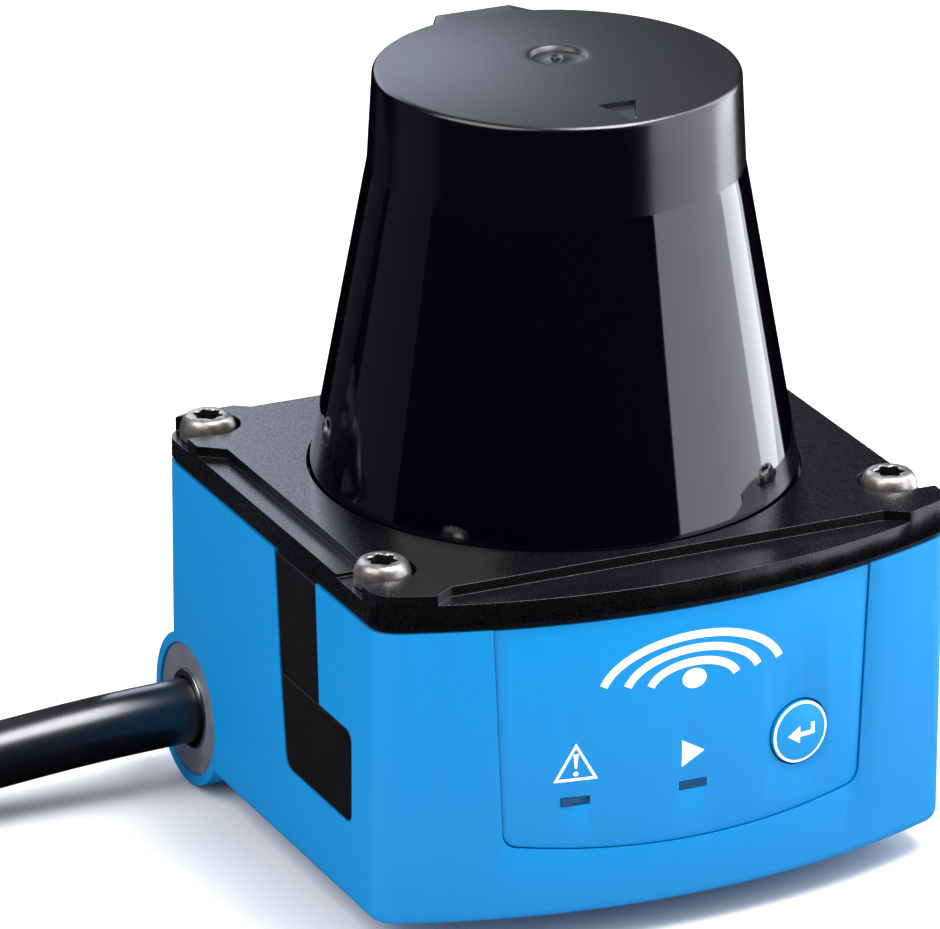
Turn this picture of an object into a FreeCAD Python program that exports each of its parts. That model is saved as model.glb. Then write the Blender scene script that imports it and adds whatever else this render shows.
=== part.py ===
"""Compact two-dimensional lidar scanner with a fixed connection cable.

Frame: millimetres, +Z up along the scan axis, -Y towards the front panel, +X to the right.
Origin: on the scan axis, in the plane of the mounting pad's underside.
Every separate piece is written to parts/NAME.step.
"""
import FreeCAD
import Part
import math
import os

V = FreeCAD.Vector
X_AXIS, Y_AXIS, Z_AXIS = V(1, 0, 0), V(0, 1, 0), V(0, 0, 1)

# ---- driving dimensions -------------------------------------------------------------------
# lower housing, seen from above: flat sides and back, a front that bows outwards
body_width = 60.0
body_back = 25.7            # scan axis to the back face
body_front = 24.5           # scan axis to the front corners
front_bow = 6.2             # how far the middle of the front stands beyond its corners
corner_radius = 3.0
pad_height = 2.8            # mounting pad under the housing
housing_height = 29.8       # the painted body, without pad and gasket
wall = 2.2
floor_thickness = 2.2
bottom_edge_radius = 1.2
gasket_thickness = 0.5
gasket_inset = 0.3

# flange plate that carries the hood
flange_thickness = 3.3
ledge_depth = 1.0
ledge_width = 2.4
side_ledge_half = 15.2
front_ledge_half = 22.6
front_ledge_inset = -0.6        # behind the front corners; less than 0 is in front of them
front_ledge_step = 1.3
front_ledge_slant = 2.0
back_ledge_half = 21.0
back_ledge_width = 1.0
back_ledge_slant = 4.0
ledge_end_slant = 1.9

# optics hood
hood_base_radius = 23.5
hood_shoulder_radius = 18.0
hood_shoulder_height = 30.6     # above the flange plate
hood_rim_radius = 17.55
hood_rim_height = 39.7          # above the flange plate
hood_crown = 1.25
hood_wall = 1.6
hood_rebate = 1.5               # the hood's foot sits this deep in the flange plate
hood_gap = 0.3
foot_land = 2.0
foot_upright = 0.4              # the foot's straight part above the flange plate
cap_roof = 1.2
seal_width = 0.8
seal_depth = 0.6
rim_fillet = 0.4
rib_half_width = 5.4
rib_tip_half_width = 3.9
rib_reach = 1.5
arrow_half_width = 1.5
arrow_base_y = -12.8
arrow_tip_y = -16.9
dimple_radius = 2.7
dimple_depth = 0.5
gate_radius = 0.6

# fasteners
flange_screw_side_inset = 3.4
flange_screw_back_inset = 3.5
flange_screw_front_inset = 6.0      # behind the front corners
m3_radius = 1.5
m3_tap_radius = 1.25
m25_radius = 1.25
m2_radius = 1.0
screw_play = 0.05               # round a shank in the hole that holds it
screw_clearance = 0.2           # round a shank in the piece that it clamps
flange_head_radius = 2.75
flange_head_height = 2.4
flange_pocket_depth = 1.4
flange_pocket_play = 0.45
flange_screw_length = 12.0
flange_post_wall = 0.9          # round a flange screw's head
carrier_head_radius = 1.9
carrier_screw_length = 7.0
board_head_radius = 2.2
board_screw_length = 6.0
tap_spare = 1.0                 # hole left below a screw's tip
mount_thread_depth = 4.0
mount_thread_spacing = 36.0
base_thread_y = -6.0
rear_thread_drop = 10.6         # below the housing's rim
thread_wall = 2.15              # round the rear mounting threads

# front panel, button and lights
panel_half_top = 19.9
panel_half_bottom = 18.7
panel_bottom_z = 9.0
panel_bottom_rise = 1.5
panel_corner = 1.6
panel_recess = 0.6
membrane_thickness = 0.4
panel_play = 0.12
button_x = 11.6
button_z = 17.45
button_radius = 3.15
button_play = 0.2
button_flange = 0.8
button_travel = 0.5
button_dome = 0.45
button_collar = 0.9
stem_radius = 1.0
switch_half = 2.3
switch_depth = 2.6
light_x = 11.8
light_z = 14.5
light_width = 2.8
light_height = 0.8
light_play = 0.05

# service port on the left side, under a rubber cover
cover_recess = 1.2
cover_play = 0.15
cover_strap_top = (23.75, 14.0)     # back and front edge, behind the front corners
cover_strap_low = (21.95, 12.9)
cover_foot_back = 20.6
cover_foot_front = 5.5
cover_foot_low_z = 11.1
cover_split_z = 20.6
cover_corner = 1.2
port_width = 7.6
port_height = 2.8
port_depth = 5.6
port_sheet = 0.35
port_play = 0.3
port_gap = 0.45                 # to the post beside it

# cable entry on the left side, at the back
boss_inset = 5.6                # the boss's axis, in front of the back face
boss_length = 14.0
boss_wall = 1.0
gland_radius = 6.7
gland_thickness = 2.0
gland_sink = 0.25
sleeve_wall = 0.7
sleeve_proud = 0.25
cable_diameter = 6.5

# scan drive and optics
shaft_radius = 1.5
bearing_outer_radius = 3.0
bearing_width = 2.5
running_play = 0.03
bearing_tube_wall = 1.0
motor_gap = 0.5
stator_radius = 8.5
magnet_wall = 1.0
cup_wall = 1.0
disc_play = 0.3
mirror_half_width = 9.0
mirror_half_length = 12.4
mirror_thickness = 1.5
mirror_centre_height = 18.8     # above the flange plate
lens_radius = 10.5
column_half_width = 4.0
column_gap = 0.2                # between the column's corners and the hood
column_thickness = 1.6
rotor_room = 0.6                # free space round everything that spins

# carrier plate of the scan drive, below the housing's rim
carrier_drop = 1.5
carrier_thickness = 2.0

# boards
board_thickness = 1.6
board_gap = 0.6
standoff_height = 6.5
standoff_radius = 2.6
column_radius = 2.4
panel_board_margin = 3.8

# ---- levels and places worked out from the sizes above -----------------------------------------
half_width = body_width / 2
floor_top = pad_height + floor_thickness
rim_z = pad_height + housing_height
plate_low = rim_z + gasket_thickness
plate_top = plate_low + flange_thickness
shoulder_z = plate_top + hood_shoulder_height
rim_top = plate_top + hood_rim_height
crown_top = rim_top + hood_crown
front_middle = body_front + front_bow
board_low = floor_top + standoff_height
board_top = board_low + board_thickness
base_top = rim_z - carrier_drop
base_low = base_top - carrier_thickness
opening_radius = hood_base_radius - foot_land
magnet_inner = stator_radius + motor_gap
magnet_outer = magnet_inner + magnet_wall
cup_outer = magnet_outer + cup_wall
# the column's outer corners stand just inside the hood, and the encoder disc just inside the column
column_reach = hood_shoulder_radius - hood_wall - column_gap
column_y = math.sqrt(column_reach ** 2 - column_half_width ** 2) - column_thickness
disc_outer = column_y - rotor_room - disc_play
mirror_z = plate_top + mirror_centre_height
sleeve_radius = cable_diameter / 2 + sleeve_wall
boss_radius = gland_radius + boss_wall
boss_y = body_back - boss_inset
boss_z = boss_radius
rear_thread_z = rim_z - rear_thread_drop
front_ledge_y = body_front - front_ledge_inset
flange_screw_x = half_width - flange_screw_side_inset
flange_screw_back_y = body_back - flange_screw_back_inset
flange_screw_front_y = body_front - flange_screw_front_inset
post_radius = flange_head_radius + flange_post_wall
port_y = post_radius + port_gap + port_width / 2 - flange_screw_front_y
SCREW_PLACES = [(sx * flange_screw_x, y) for sx in (-1, 1)
                for y in (flange_screw_back_y, -flange_screw_front_y)]
# the carrier's screws stand clear of the flange screws' posts and of the cable boss
post_reach = post_radius + carrier_head_radius + 0.4
front_place = (flange_screw_x - post_reach * 0.942, -flange_screw_front_y - post_reach * 0.336)
CARRIER_PLACES = [(8.0 - half_width, boss_y - boss_radius - column_radius - 0.5),
                  (flange_screw_x - (post_reach + 1.7) * 0.6, flange_screw_back_y - (post_reach + 1.7) * 0.8),
                  (-front_place[0], front_place[1]), front_place]
board_screw_x = half_width - 14.5
BOARD_PLACES = [(sx * board_screw_x, y) for sx in (-1, 1) for y in (8.0, -flange_screw_front_y)]

pieces = {}


# ---- shape helpers ---------------------------------------------------------------------------
def box(x0, y0, z0, x1, y1, z1):
    """A box between two corners."""
    return Part.makeBox(x1 - x0, y1 - y0, z1 - z0, V(x0, y0, z0))


def rod(radius, start, end):
    """A round bar from start to end."""
    line = end - start
    return Part.makeCylinder(radius, line.Length, start, line)


def post(radius, x, y, z0, z1):
    """An upright round bar."""
    return rod(radius, V(x, y, z0), V(x, y, z1))


def tube(outer, inner, x, y, z0, z1):
    """An upright round tube."""
    return post(outer, x, y, z0, z1).cut(post(inner, x, y, z0 - 1, z1 + 1))


def prism(points, z0, z1):
    """An upright prism over a closed polygon of (x, y) points."""
    ring = [V(x, y, z0) for x, y in points]
    return Part.Face(Part.makePolygon(ring + ring[:1])).extrude(V(0, 0, z1 - z0))


def side_prism(points, x0, x1):
    """A prism along X over a closed polygon of (y, z) points."""
    ring = [V(x0, y, z) for y, z in points]
    return Part.Face(Part.makePolygon(ring + ring[:1])).extrude(V(x1 - x0, 0, 0))


def turned(points):
    """A solid of revolution about Z from a closed profile of (radius, z) points."""
    ring = [V(r, 0, z) for r, z in points]
    return Part.Face(Part.makePolygon(ring + ring[:1])).revolve(V(0, 0, 0), Z_AXIS, 360)


def fused(shapes):
    """One solid from several that touch."""
    body = shapes[0]
    for other in shapes[1:]:
        body = body.fuse(other)
    return body.removeSplitter()


def minus(shape, tools):
    """The shape with every tool cut away."""
    for tool in tools:
        shape = shape.cut(tool)
    return shape


def upright_edges(shape, least):
    """The shape's straight vertical edges of at least the given length."""
    found = []
    for edge in shape.Edges:
        a, b = edge.Vertexes[0].Point, edge.Vertexes[-1].Point
        if abs(a.x - b.x) < 1e-6 and abs(a.y - b.y) < 1e-6 and abs(a.z - b.z) >= least:
            found.append(edge)
    return found


def rounded(shape, radius):
    """The shape with its vertical edges rounded."""
    height = shape.BoundBox.ZLength
    return shape.makeFillet(radius, upright_edges(shape, height * 0.99))


def front_arc(inset, x):
    """Distance from the scan axis to the bowed front, at x, behind the given inset."""
    return body_front - inset + front_bow * (1 - (x / half_width) ** 2)


def body_prism(inset, z0, z1):
    """The body's outline, moved inwards by inset, as an upright prism with rounded corners."""
    hw = half_width - inset
    back = body_back - inset
    left, right = V(-hw, inset - body_front, z0), V(hw, inset - body_front, z0)
    bow = Part.Arc(left, V(0, inset - front_middle, z0), right).toShape()
    sides = Part.makePolygon([right, V(hw, back, z0), V(-hw, back, z0), left])
    face = Part.Face(Part.Wire([bow] + sides.Edges))
    return rounded(face.extrude(V(0, 0, z1 - z0)), max(0.6, corner_radius - inset))


def facing_front(x, z, depth):
    """A point under the bowed front's skin, and the outward direction of the front there."""
    slope = 2 * front_bow * x / half_width ** 2
    outward = V(slope, -1, 0).normalize()
    skin = V(x, -front_arc(0, x), z)
    return skin - outward * depth, outward


def keep(name, shape):
    """Store a finished piece under the name of its node."""
    if shape.Volume <= 0:
        raise ValueError("piece " + name + " has no volume")
    pieces[name] = shape
    return shape


# ---- fasteners -------------------------------------------------------------------------------
def star_recess(radius, z0, z1):
    """A six-lobed driver recess on the Z axis."""
    lobes = [post(radius * 0.27, radius * 0.73 * math.cos(a), radius * 0.73 * math.sin(a), z0, z1)
             for a in (math.radians(60 * k) for k in range(6))]
    return fused([post(radius * 0.78, 0, 0, z0, z1)] + lobes)


def pan_screw(shank, head, head_height, length, recess):
    """An upright pan-head screw: the seat of its head lies at z = 0."""
    crown = turned([(0, 0), (head, 0), (head, head_height * 0.32), (head * 0.93, head_height * 0.62),
                    (head * 0.78, head_height * 0.86), (head * 0.6, head_height), (0, head_height)])
    crown = crown.cut(star_recess(recess, head_height * 0.45, head_height + 1))
    return fused([crown, post(shank, 0, 0, -length, 0)])


def screws_at(places, seat, shank, head, head_height, length, recess):
    """A group of equal screws with their heads' seats at the given level."""
    one = pan_screw(shank, head, head_height, length, recess)
    group = []
    for x, y in places:
        copy = one.copy()
        copy.translate(V(x, y, seat))
        group.append(copy)
    return Part.makeCompound(group)


# ---- lower housing ---------------------------------------------------------------------------
PAD_HALF_WIDTH = half_width - 7.0
PAD_FRONT = body_front - 4.5
PAD_BACK = boss_y - boss_radius - 1.4
REAR_BOSS_RADIUS = m3_tap_radius + thread_wall
PORT_Z = board_top + port_height / 2
BUTTON_LIP = panel_recess + 0.6         # under the front's skin
STEM_DEPTH = wall + 1.4                 # under the front's skin


def panel_outline(inset, y0, y1):
    """The front panel's outline as a prism along Y: straight sides, a bottom edge that curves."""
    top = rim_z + 5
    ht, hb = panel_half_top - inset, panel_half_bottom - inset
    low = panel_bottom_z + inset
    a, b = V(-ht, y0, top), V(ht, y0, top)
    c, d = V(hb, y0, low + panel_bottom_rise), V(-hb, y0, low + panel_bottom_rise)
    curve = Part.Arc(c, V(0, y0, low), d).toShape()
    sides = Part.makePolygon([d, a, b, c])
    solid = Part.Face(Part.Wire([curve] + sides.Edges)).extrude(V(0, y1 - y0, 0))
    corners = [e for e in solid.Edges if abs(e.Vertexes[0].Point.z - e.Vertexes[-1].Point.z) < 1e-6
               and e.Vertexes[0].Point.z < top - 1 and e.Vertexes[0].Point.y != e.Vertexes[-1].Point.y]
    return solid.makeFillet(panel_corner, corners)


def cover_points(play):
    """The (y, z) outline of the strap and of the foot of the service cover, moved in by play."""
    top = rim_z + 5
    back_top, front_top = (d - body_front for d in cover_strap_top)
    back_low, front_low = (d - body_front for d in cover_strap_low)
    foot_back, foot_front = cover_foot_back - body_front, cover_foot_front - body_front
    strap = [(back_top - play, top), (back_low - play, cover_split_z + play),
             (front_low + play, cover_split_z + play), (front_top + play, top)]
    foot = [(back_low - play, cover_split_z - play), (foot_back - play, cover_foot_low_z + play),
            (foot_front + play, cover_foot_low_z + play), (foot_front + play, cover_split_z - play)]
    return strap, foot


def rounded_side_prism(points, x0, x1, radius, wanted):
    """A prism along X with the edges rounded that start at the wanted points."""
    solid = side_prism(points, x0, x1)
    edges = []
    for edge in solid.Edges:
        a, b = edge.Vertexes[0].Point, edge.Vertexes[-1].Point
        along = abs(a.y - b.y) < 1e-6 and abs(a.z - b.z) < 1e-6
        if along and any(abs(a.y - y) < 1e-6 and abs(a.z - z) < 1e-6 for y, z in wanted):
            edges.append(edge)
    return solid.makeFillet(radius, edges)


def cover_shapes(play, x0, x1, top):
    """The strap and the foot of the service cover between two X planes."""
    strap, foot = cover_points(play)
    strap_solid = side_prism(strap, x0, x1).common(box(x0, -60, 0, x1, 60, top))
    foot_solid = rounded_side_prism(foot, x0, x1, cover_corner, foot[1:])
    return strap_solid, foot_solid


def button_hole(radius, depth0, depth1):
    """A bar through the front along the button's own axis."""
    a, outward = facing_front(button_x, button_z, depth0)
    b, outward = facing_front(button_x, button_z, depth1)
    return rod(radius, a, b)


def light_bar(x, play, depth0, depth1):
    """A flat bar through the front panel at a status light."""
    y_skin = -front_arc(0, x)
    hx, hz = light_width / 2 + play, light_height / 2 + play
    return box(x - hx, y_skin + depth0, light_z - hz, x + hx, y_skin + depth1, light_z + hz)


def lower_housing():
    """Painted die-cast tub with posts, mounting pad, cable boss and all openings."""
    shell = body_prism(0, pad_height, rim_z)
    low = [e for e in shell.Edges if all(abs(v.Point.z - pad_height) < 1e-6 for v in e.Vertexes)]
    shell = shell.makeFillet(bottom_edge_radius, low)
    shell = shell.cut(body_prism(wall, floor_top, rim_z + 1))
    pad = rounded(box(-PAD_HALF_WIDTH, -PAD_FRONT, 0, PAD_HALF_WIDTH, PAD_BACK, pad_height + 0.5), 3.0)
    boss = rod(boss_radius, V(-half_width, boss_y, boss_z), V(-half_width + boss_length, boss_y, boss_z))
    inside = body_prism(0.2, floor_top - 0.5, rim_z)
    posts = [post(post_radius, x, y, floor_top - 0.5, rim_z).common(inside)
             for x, y in SCREW_PLACES]
    columns = [post(column_radius, x, y, floor_top - 0.5, base_low) for x, y in CARRIER_PLACES]
    standoffs = [post(standoff_radius, x, y, floor_top - 0.5, board_low) for x, y in BOARD_PLACES]
    half = mount_thread_spacing / 2
    inner_depth = mount_thread_depth + 1.0
    rear = [rod(REAR_BOSS_RADIUS, V(x, body_back - inner_depth, rear_thread_z),
                V(x, body_back - 0.5, rear_thread_z)) for x in (-half, half)]
    tub = fused([shell, pad, boss] + posts + columns + standoffs + rear)

    flange_tip = plate_top - flange_pocket_depth - flange_screw_length
    cuts = [post(m3_radius + screw_play, x, y, flange_tip - tap_spare, rim_z + 1) for x, y in SCREW_PLACES]
    carrier_tip = base_top - carrier_screw_length
    cuts += [post(m2_radius + screw_play, x, y, carrier_tip - tap_spare, base_low + 1)
             for x, y in CARRIER_PLACES]
    cuts += [post(m25_radius + screw_play, x, y, board_top - board_screw_length - tap_spare, board_low + 1)
             for x, y in BOARD_PLACES]
    cuts += [post(m3_tap_radius, x, base_thread_y, -1, mount_thread_depth) for x in (-half, half)]
    cuts += [rod(m3_tap_radius, V(x, body_back - mount_thread_depth, rear_thread_z),
                 V(x, body_back + 1, rear_thread_z)) for x in (-half, half)]
    # cable entry: a seat for the gland ring, then the bore for the sleeve
    face = -half_width
    seat = face + gland_sink + gland_thickness
    cuts.append(rod(gland_radius, V(face - 1, boss_y, boss_z), V(seat, boss_y, boss_z)))
    cuts.append(rod(sleeve_radius, V(face, boss_y, boss_z), V(face + boss_length + 1, boss_y, boss_z)))
    # service port: the cover's recess, then the window for the plug
    strap, foot = cover_shapes(0, face - 1, face + cover_recess, rim_z + 1)
    back_low, front_low = (d - body_front for d in cover_strap_low)
    joint = box(face - 1, front_low, cover_split_z - 0.01, face + cover_recess, back_low,
                cover_split_z + 0.01)
    cuts += [strap, foot, joint]
    half_y, half_z = port_width / 2 + port_play, port_height / 2 + port_play
    cuts.append(box(face, port_y - half_y, PORT_Z - half_z, face + wall + 1, port_y + half_y,
                    PORT_Z + half_z))
    # front panel: recess, button hole with its wider inner part, light openings
    skin = body_prism(-1, 0, rim_z + 2).cut(body_prism(panel_recess, -1, rim_z + 3))
    cuts.append(skin.common(panel_outline(0, -60, 0)))
    cuts.append(button_hole(button_radius + button_play, -2, wall + 2))
    cuts.append(button_hole(button_radius + button_flange + button_play, BUTTON_LIP, wall + 2))
    cuts += [light_bar(x, light_play, -2, wall + 2) for x in (-light_x, 0.0)]
    return minus(tub, cuts)


def housing_gasket():
    """Flat rubber gasket between the housing's rim and the flange plate."""
    ring = body_prism(gasket_inset, rim_z, plate_low).cut(body_prism(wall, rim_z - 1, plate_low + 1))
    inside = body_prism(gasket_inset, rim_z, plate_low)
    lands = [post(post_radius, x, y, rim_z, plate_low).common(inside)
             for x, y in SCREW_PLACES]
    holes = [post(m3_radius + screw_clearance, x, y, rim_z - 1, plate_low + 1)
             for x, y in SCREW_PLACES]
    return minus(fused([ring] + lands), holes)


# ---- flange plate and hood -------------------------------------------------------------------
def flange_plate():
    """Textured plate that closes the housing: ledges along its sides, a pocket at each screw."""
    plate = body_prism(0, plate_low, plate_top)
    low, high = plate_top - ledge_depth, plate_top + 1
    inner = half_width - ledge_width
    far = half_width + 5
    side = side_ledge_half
    slant = ledge_end_slant * (far - inner) / ledge_width
    cuts = []
    for s in (-1, 1):
        cuts.append(prism([(s * inner, side), (s * inner, -side), (s * far, -side - slant),
                           (s * far, side + slant)], low, high))
    wide = front_ledge_half + front_ledge_slant
    step = front_ledge_y + front_ledge_step
    cuts.append(prism([(-front_ledge_half, -front_ledge_y), (front_ledge_half, -front_ledge_y),
                       (wide, -step), (wide, -front_middle - 3), (-wide, -front_middle - 3),
                       (-wide, -step)], low, high))
    back = body_back - back_ledge_width
    cuts.append(prism([(-back_ledge_half, back), (back_ledge_half, back),
                       (back_ledge_half + back_ledge_slant, body_back + 2),
                       (-back_ledge_half - back_ledge_slant, body_back + 2)], low, high))
    pocket_low = plate_top - flange_pocket_depth
    pocket = flange_head_radius + flange_pocket_play
    for x, y in SCREW_PLACES:
        cuts.append(post(pocket, x, y, pocket_low, high))
        cuts.append(post(m3_radius + screw_clearance, x, y, plate_low - 1, high))
        out = half_width + 1 if x > 0 else -half_width - 1
        cuts.append(box(min(x, out), y - pocket * 0.9, pocket_low, max(x, out), y + pocket * 0.9, high))
    cuts.append(post(opening_radius, 0, 0, plate_low - 1, high))
    cuts.append(post(hood_base_radius + hood_gap, 0, 0, plate_top - hood_rebate, high))
    floor_z = plate_top - hood_rebate
    mid = opening_radius + foot_land / 2
    cuts.append(tube(mid + seal_width / 2, mid - seal_width / 2, 0, 0, floor_z - seal_depth, floor_z + 1))
    return minus(plate, cuts)


def hood_seal():
    """Rubber ring in the flange plate's groove, under the hood's foot."""
    floor_z = plate_top - hood_rebate
    mid = opening_radius + foot_land / 2
    return tube(mid + seal_width / 2, mid - seal_width / 2, 0, 0, floor_z - seal_depth, floor_z)


def optics_hood():
    """Moulded hood: a cone that infrared passes, a nearly upright cap and a low crown."""
    foot_z = plate_top - hood_rebate
    t = hood_wall
    outside = [(0, foot_z), (hood_base_radius, foot_z), (hood_base_radius, plate_top + foot_upright),
               (hood_shoulder_radius, shoulder_z), (hood_rim_radius, rim_top - rim_fillet),
               (hood_rim_radius - rim_fillet, rim_top), (hood_rim_radius * 0.62, rim_top + hood_crown * 0.72),
               (hood_rim_radius * 0.3, crown_top), (0, crown_top)]
    inner_top = rim_top - cap_roof
    inside = [(0, foot_z - 1), (opening_radius, foot_z - 1), (opening_radius, plate_top + foot_upright),
              (hood_shoulder_radius - t, shoulder_z), (hood_rim_radius - t, inner_top), (0, inner_top)]
    hood = turned(outside)
    # alignment rib at the back of the cap, as deep as the cap's upright part
    root, tip = hood_rim_radius - 1.0, hood_rim_radius + rib_reach
    rib = prism([(-rib_half_width, root - 0.4), (rib_half_width, root - 0.4), (rib_half_width, root),
                 (rib_tip_half_width, tip), (-rib_tip_half_width, tip), (-rib_half_width, root)],
                shoulder_z, rim_top)
    hood = fused([hood, rib])
    arrow = prism([(-arrow_half_width, arrow_base_y), (arrow_half_width, arrow_base_y), (0, arrow_tip_y)],
                  rim_top + 0.05, crown_top + 1)
    dimple = post(dimple_radius, 0, 0, crown_top - dimple_depth, crown_top + 1)
    gate = post(gate_radius, 0, 0, crown_top - dimple_depth - 0.1, crown_top - 0.1)
    return fused([minus(hood, [turned(inside), arrow, dimple]), gate])


# ---- front panel -----------------------------------------------------------------------------
def panel_membrane():
    """Thin printed panel in the front recess, open at the button and at the lights."""
    outer = panel_recess - membrane_thickness
    skin = body_prism(outer, 0, rim_z - panel_play).cut(body_prism(panel_recess, -1, rim_z + 3))
    sheet = skin.common(panel_outline(panel_play, -60, 0))
    cuts = [button_hole(button_radius + button_play, -2, wall)]
    cuts += [light_bar(x, light_play, -2, wall) for x in (-light_x, 0.0)]
    return minus(sheet, cuts)


def button_cap():
    """Domed push button with a retaining flange and a stem towards its switch."""
    top, outward = facing_front(button_x, button_z, 0)
    skin = BUTTON_LIP + 0.05
    front = rod(button_radius, top - outward * skin, top)
    dome_radius = (button_radius ** 2 + button_dome ** 2) / (2 * button_dome)
    ball = Part.makeSphere(dome_radius, top + outward * (button_dome - dome_radius))
    dome = ball.common(rod(button_radius, top - outward * 0.1, top + outward * 2))
    flange = rod(button_radius + button_flange, top - outward * (skin + button_collar),
                 top - outward * skin)
    stem = rod(stem_radius, top - outward * STEM_DEPTH, top - outward * skin)
    return fused([front, dome, flange, stem])


def tact_switch():
    """Switch behind the button, with its round actuator just out of the stem's reach."""
    tip, outward = facing_front(button_x, button_z, STEM_DEPTH + button_travel + 0.05)
    actuator = rod(stem_radius + 0.1, tip - outward * 1.4, tip)
    can = box(tip.x - switch_half, tip.y + 1.1, tip.z - switch_half, tip.x + switch_half,
              panel_board_y(), tip.z + switch_half)
    return fused([can, actuator])


def panel_board_y():
    """The front face of the small board behind the front panel."""
    return -front_arc(0, button_x) + STEM_DEPTH + button_travel + switch_depth


def panel_board():
    """Small board that carries the switch and the two lights."""
    y = panel_board_y()
    return box(-light_x - panel_board_margin, y, board_top + 0.2, button_x + panel_board_margin, y + 1.0,
               button_z + switch_half + 1.8)


def light_guide(x):
    """Clear bar that leads one light to the panel's face."""
    reach = front_arc(0, x) + panel_board_y() - 1.1
    return light_bar(x, 0, panel_recess - membrane_thickness, reach)


def status_leds():
    """The two lights on the panel board, behind their guides."""
    y = panel_board_y()
    return Part.makeCompound([box(x - light_width / 2, y - 1.0, light_z - light_height, x + light_width / 2,
                                  y, light_z + light_height) for x in (-light_x, 0.0)])


# ---- service port and its cover --------------------------------------------------------------
COVER_BACK = -half_width + cover_recess - 0.05


def cover_strap():
    """The part of the rubber cover that stays fixed, held under the flange plate."""
    return cover_shapes(cover_play, -half_width, COVER_BACK, rim_z - cover_play)[0]


def cover_flap():
    """The foot of the rubber cover, which folds out on its thin joint with the strap."""
    foot = cover_shapes(cover_play, -half_width, COVER_BACK, rim_z)[1]
    half_y, half_z = port_width / 2 - port_sheet, port_height / 2 - port_sheet
    plug = box(COVER_BACK - 0.05, port_y - half_y, PORT_Z - half_z, COVER_BACK + 0.7, port_y + half_y,
               PORT_Z + half_z)
    return fused([foot, plug])


def usb_receptacle():
    """Sheet-metal receptacle on the main board, with its mouth behind the window."""
    x0, end = -half_width + wall + port_play, -half_width + wall + port_play + port_depth
    half_y, half_z, t = port_width / 2, port_height / 2, port_sheet
    outer = box(x0, port_y - half_y, PORT_Z - half_z, end, port_y + half_y, PORT_Z + half_z)
    inner = box(x0 - 1, port_y - half_y + t, PORT_Z - half_z + t, end - 2 * t, port_y + half_y - t,
                PORT_Z + half_z - t)
    tongue = box(x0 + 1.2, port_y - half_y / 2, PORT_Z - 0.3, end - t, port_y + half_y / 2, PORT_Z + 0.3)
    return fused([outer.cut(inner), tongue])


# ---- boards ----------------------------------------------------------------------------------
def main_board():
    """Main circuit board on the housing's standoffs, notched round posts and boss."""
    board = body_prism(wall + board_gap, board_low, board_top)
    cuts = [post(post_radius + board_gap, x, y, board_low - 1, board_top + 1)
            for x, y in SCREW_PLACES]
    cuts += [post(column_radius + board_gap, x, y, board_low - 1, board_top + 1)
             for x, y in CARRIER_PLACES]
    cuts += [post(m25_radius + screw_clearance, x, y, board_low - 1, board_top + 1)
             for x, y in BOARD_PLACES]
    reach = boss_radius + board_gap
    cuts.append(box(-half_width, boss_y - reach, board_low - 1, -half_width + boss_length + board_gap,
                    boss_y + reach, board_top + 1))
    board = minus(board, cuts)
    front = box(-half_width, -front_middle - 1, board_low - 1, half_width,
                panel_board_y() + 1.0 + board_gap, board_top + 1)
    return max(board.cut(front).Solids, key=lambda s: s.Volume)


def board_components():
    """Taller components of the main board: coils, capacitors and drivers."""
    places = [(-4, -14, 5, 5, 3.2), (6, -15, 6, 4, 2.0), (8, -4, 6, 8, 1.6), (-12, 0, 4, 4, 2.6),
              (6, 15, 7, 4, 2.2), (-10, 12, 4, 4, 1.4)]
    blocks = [box(x, y, board_top, x + a, y + b, board_top + h) for x, y, a, b, h in places]
    cans = [post(2.0, x, y, board_top, board_top + 5.5) for x, y in ((19.5, -9), (19.5, -4), (19.5, 1))]
    return Part.makeCompound(blocks + cans)


# ---- cable entry -----------------------------------------------------------------------------
def along_x(outer, inner, x0, x1):
    """A tube along X on the cable's axis."""
    bar = rod(outer, V(x0, boss_y, boss_z), V(x1, boss_y, boss_z))
    return bar.cut(rod(inner, V(x0 - 1, boss_y, boss_z), V(x1 + 1, boss_y, boss_z)))


def gland_ring():
    """Flat ring that closes the cable boss."""
    x0 = -half_width + gland_sink
    return along_x(gland_radius - 0.05, sleeve_radius, x0, x0 + gland_thickness)


def cable_sleeve():
    """Sleeve crimped on the cable where it passes the boss."""
    x0 = -half_width + gland_sink - sleeve_proud
    return along_x(sleeve_radius - 0.02, cable_diameter / 2, x0, -half_width + boss_length)


def wire_header():
    """Connector block under the main board, for the cable's wires."""
    return box(-8.0, boss_y - 4.5, board_low - 5.2, -2.5, boss_y + 1.0, board_low)


def cable_wires():
    """The cable's inner wires, from the cut sheath to the wire header."""
    wires = []
    for k, dy in enumerate((-2.2, -1.1, 0.0, 1.1, 2.2)):
        start = V(-half_width + boss_length, boss_y + dy * 0.8, boss_z)
        end = V(-8.0, boss_y - 1.7 + dy * 0.9, board_low - 2.6)
        wires.append(rod(0.42, start, end).common(box(-half_width + boss_length, 0, 0, -8.0, 60, 60)))
    return Part.makeCompound(wires)


# ---- scan drive ------------------------------------------------------------------------------
tube_bore = bearing_outer_radius
tube_outer = bearing_outer_radius + bearing_tube_wall
tube_top = base_top + 11.6
lower_bearing_z = base_top + 1.0
upper_bearing_z = tube_top - bearing_width - 0.3
cup_low = base_top + 1.2
cup_top = tube_top + 1.9
stator_low = base_top + 2.6
stator_high = stator_low + 5.0


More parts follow.
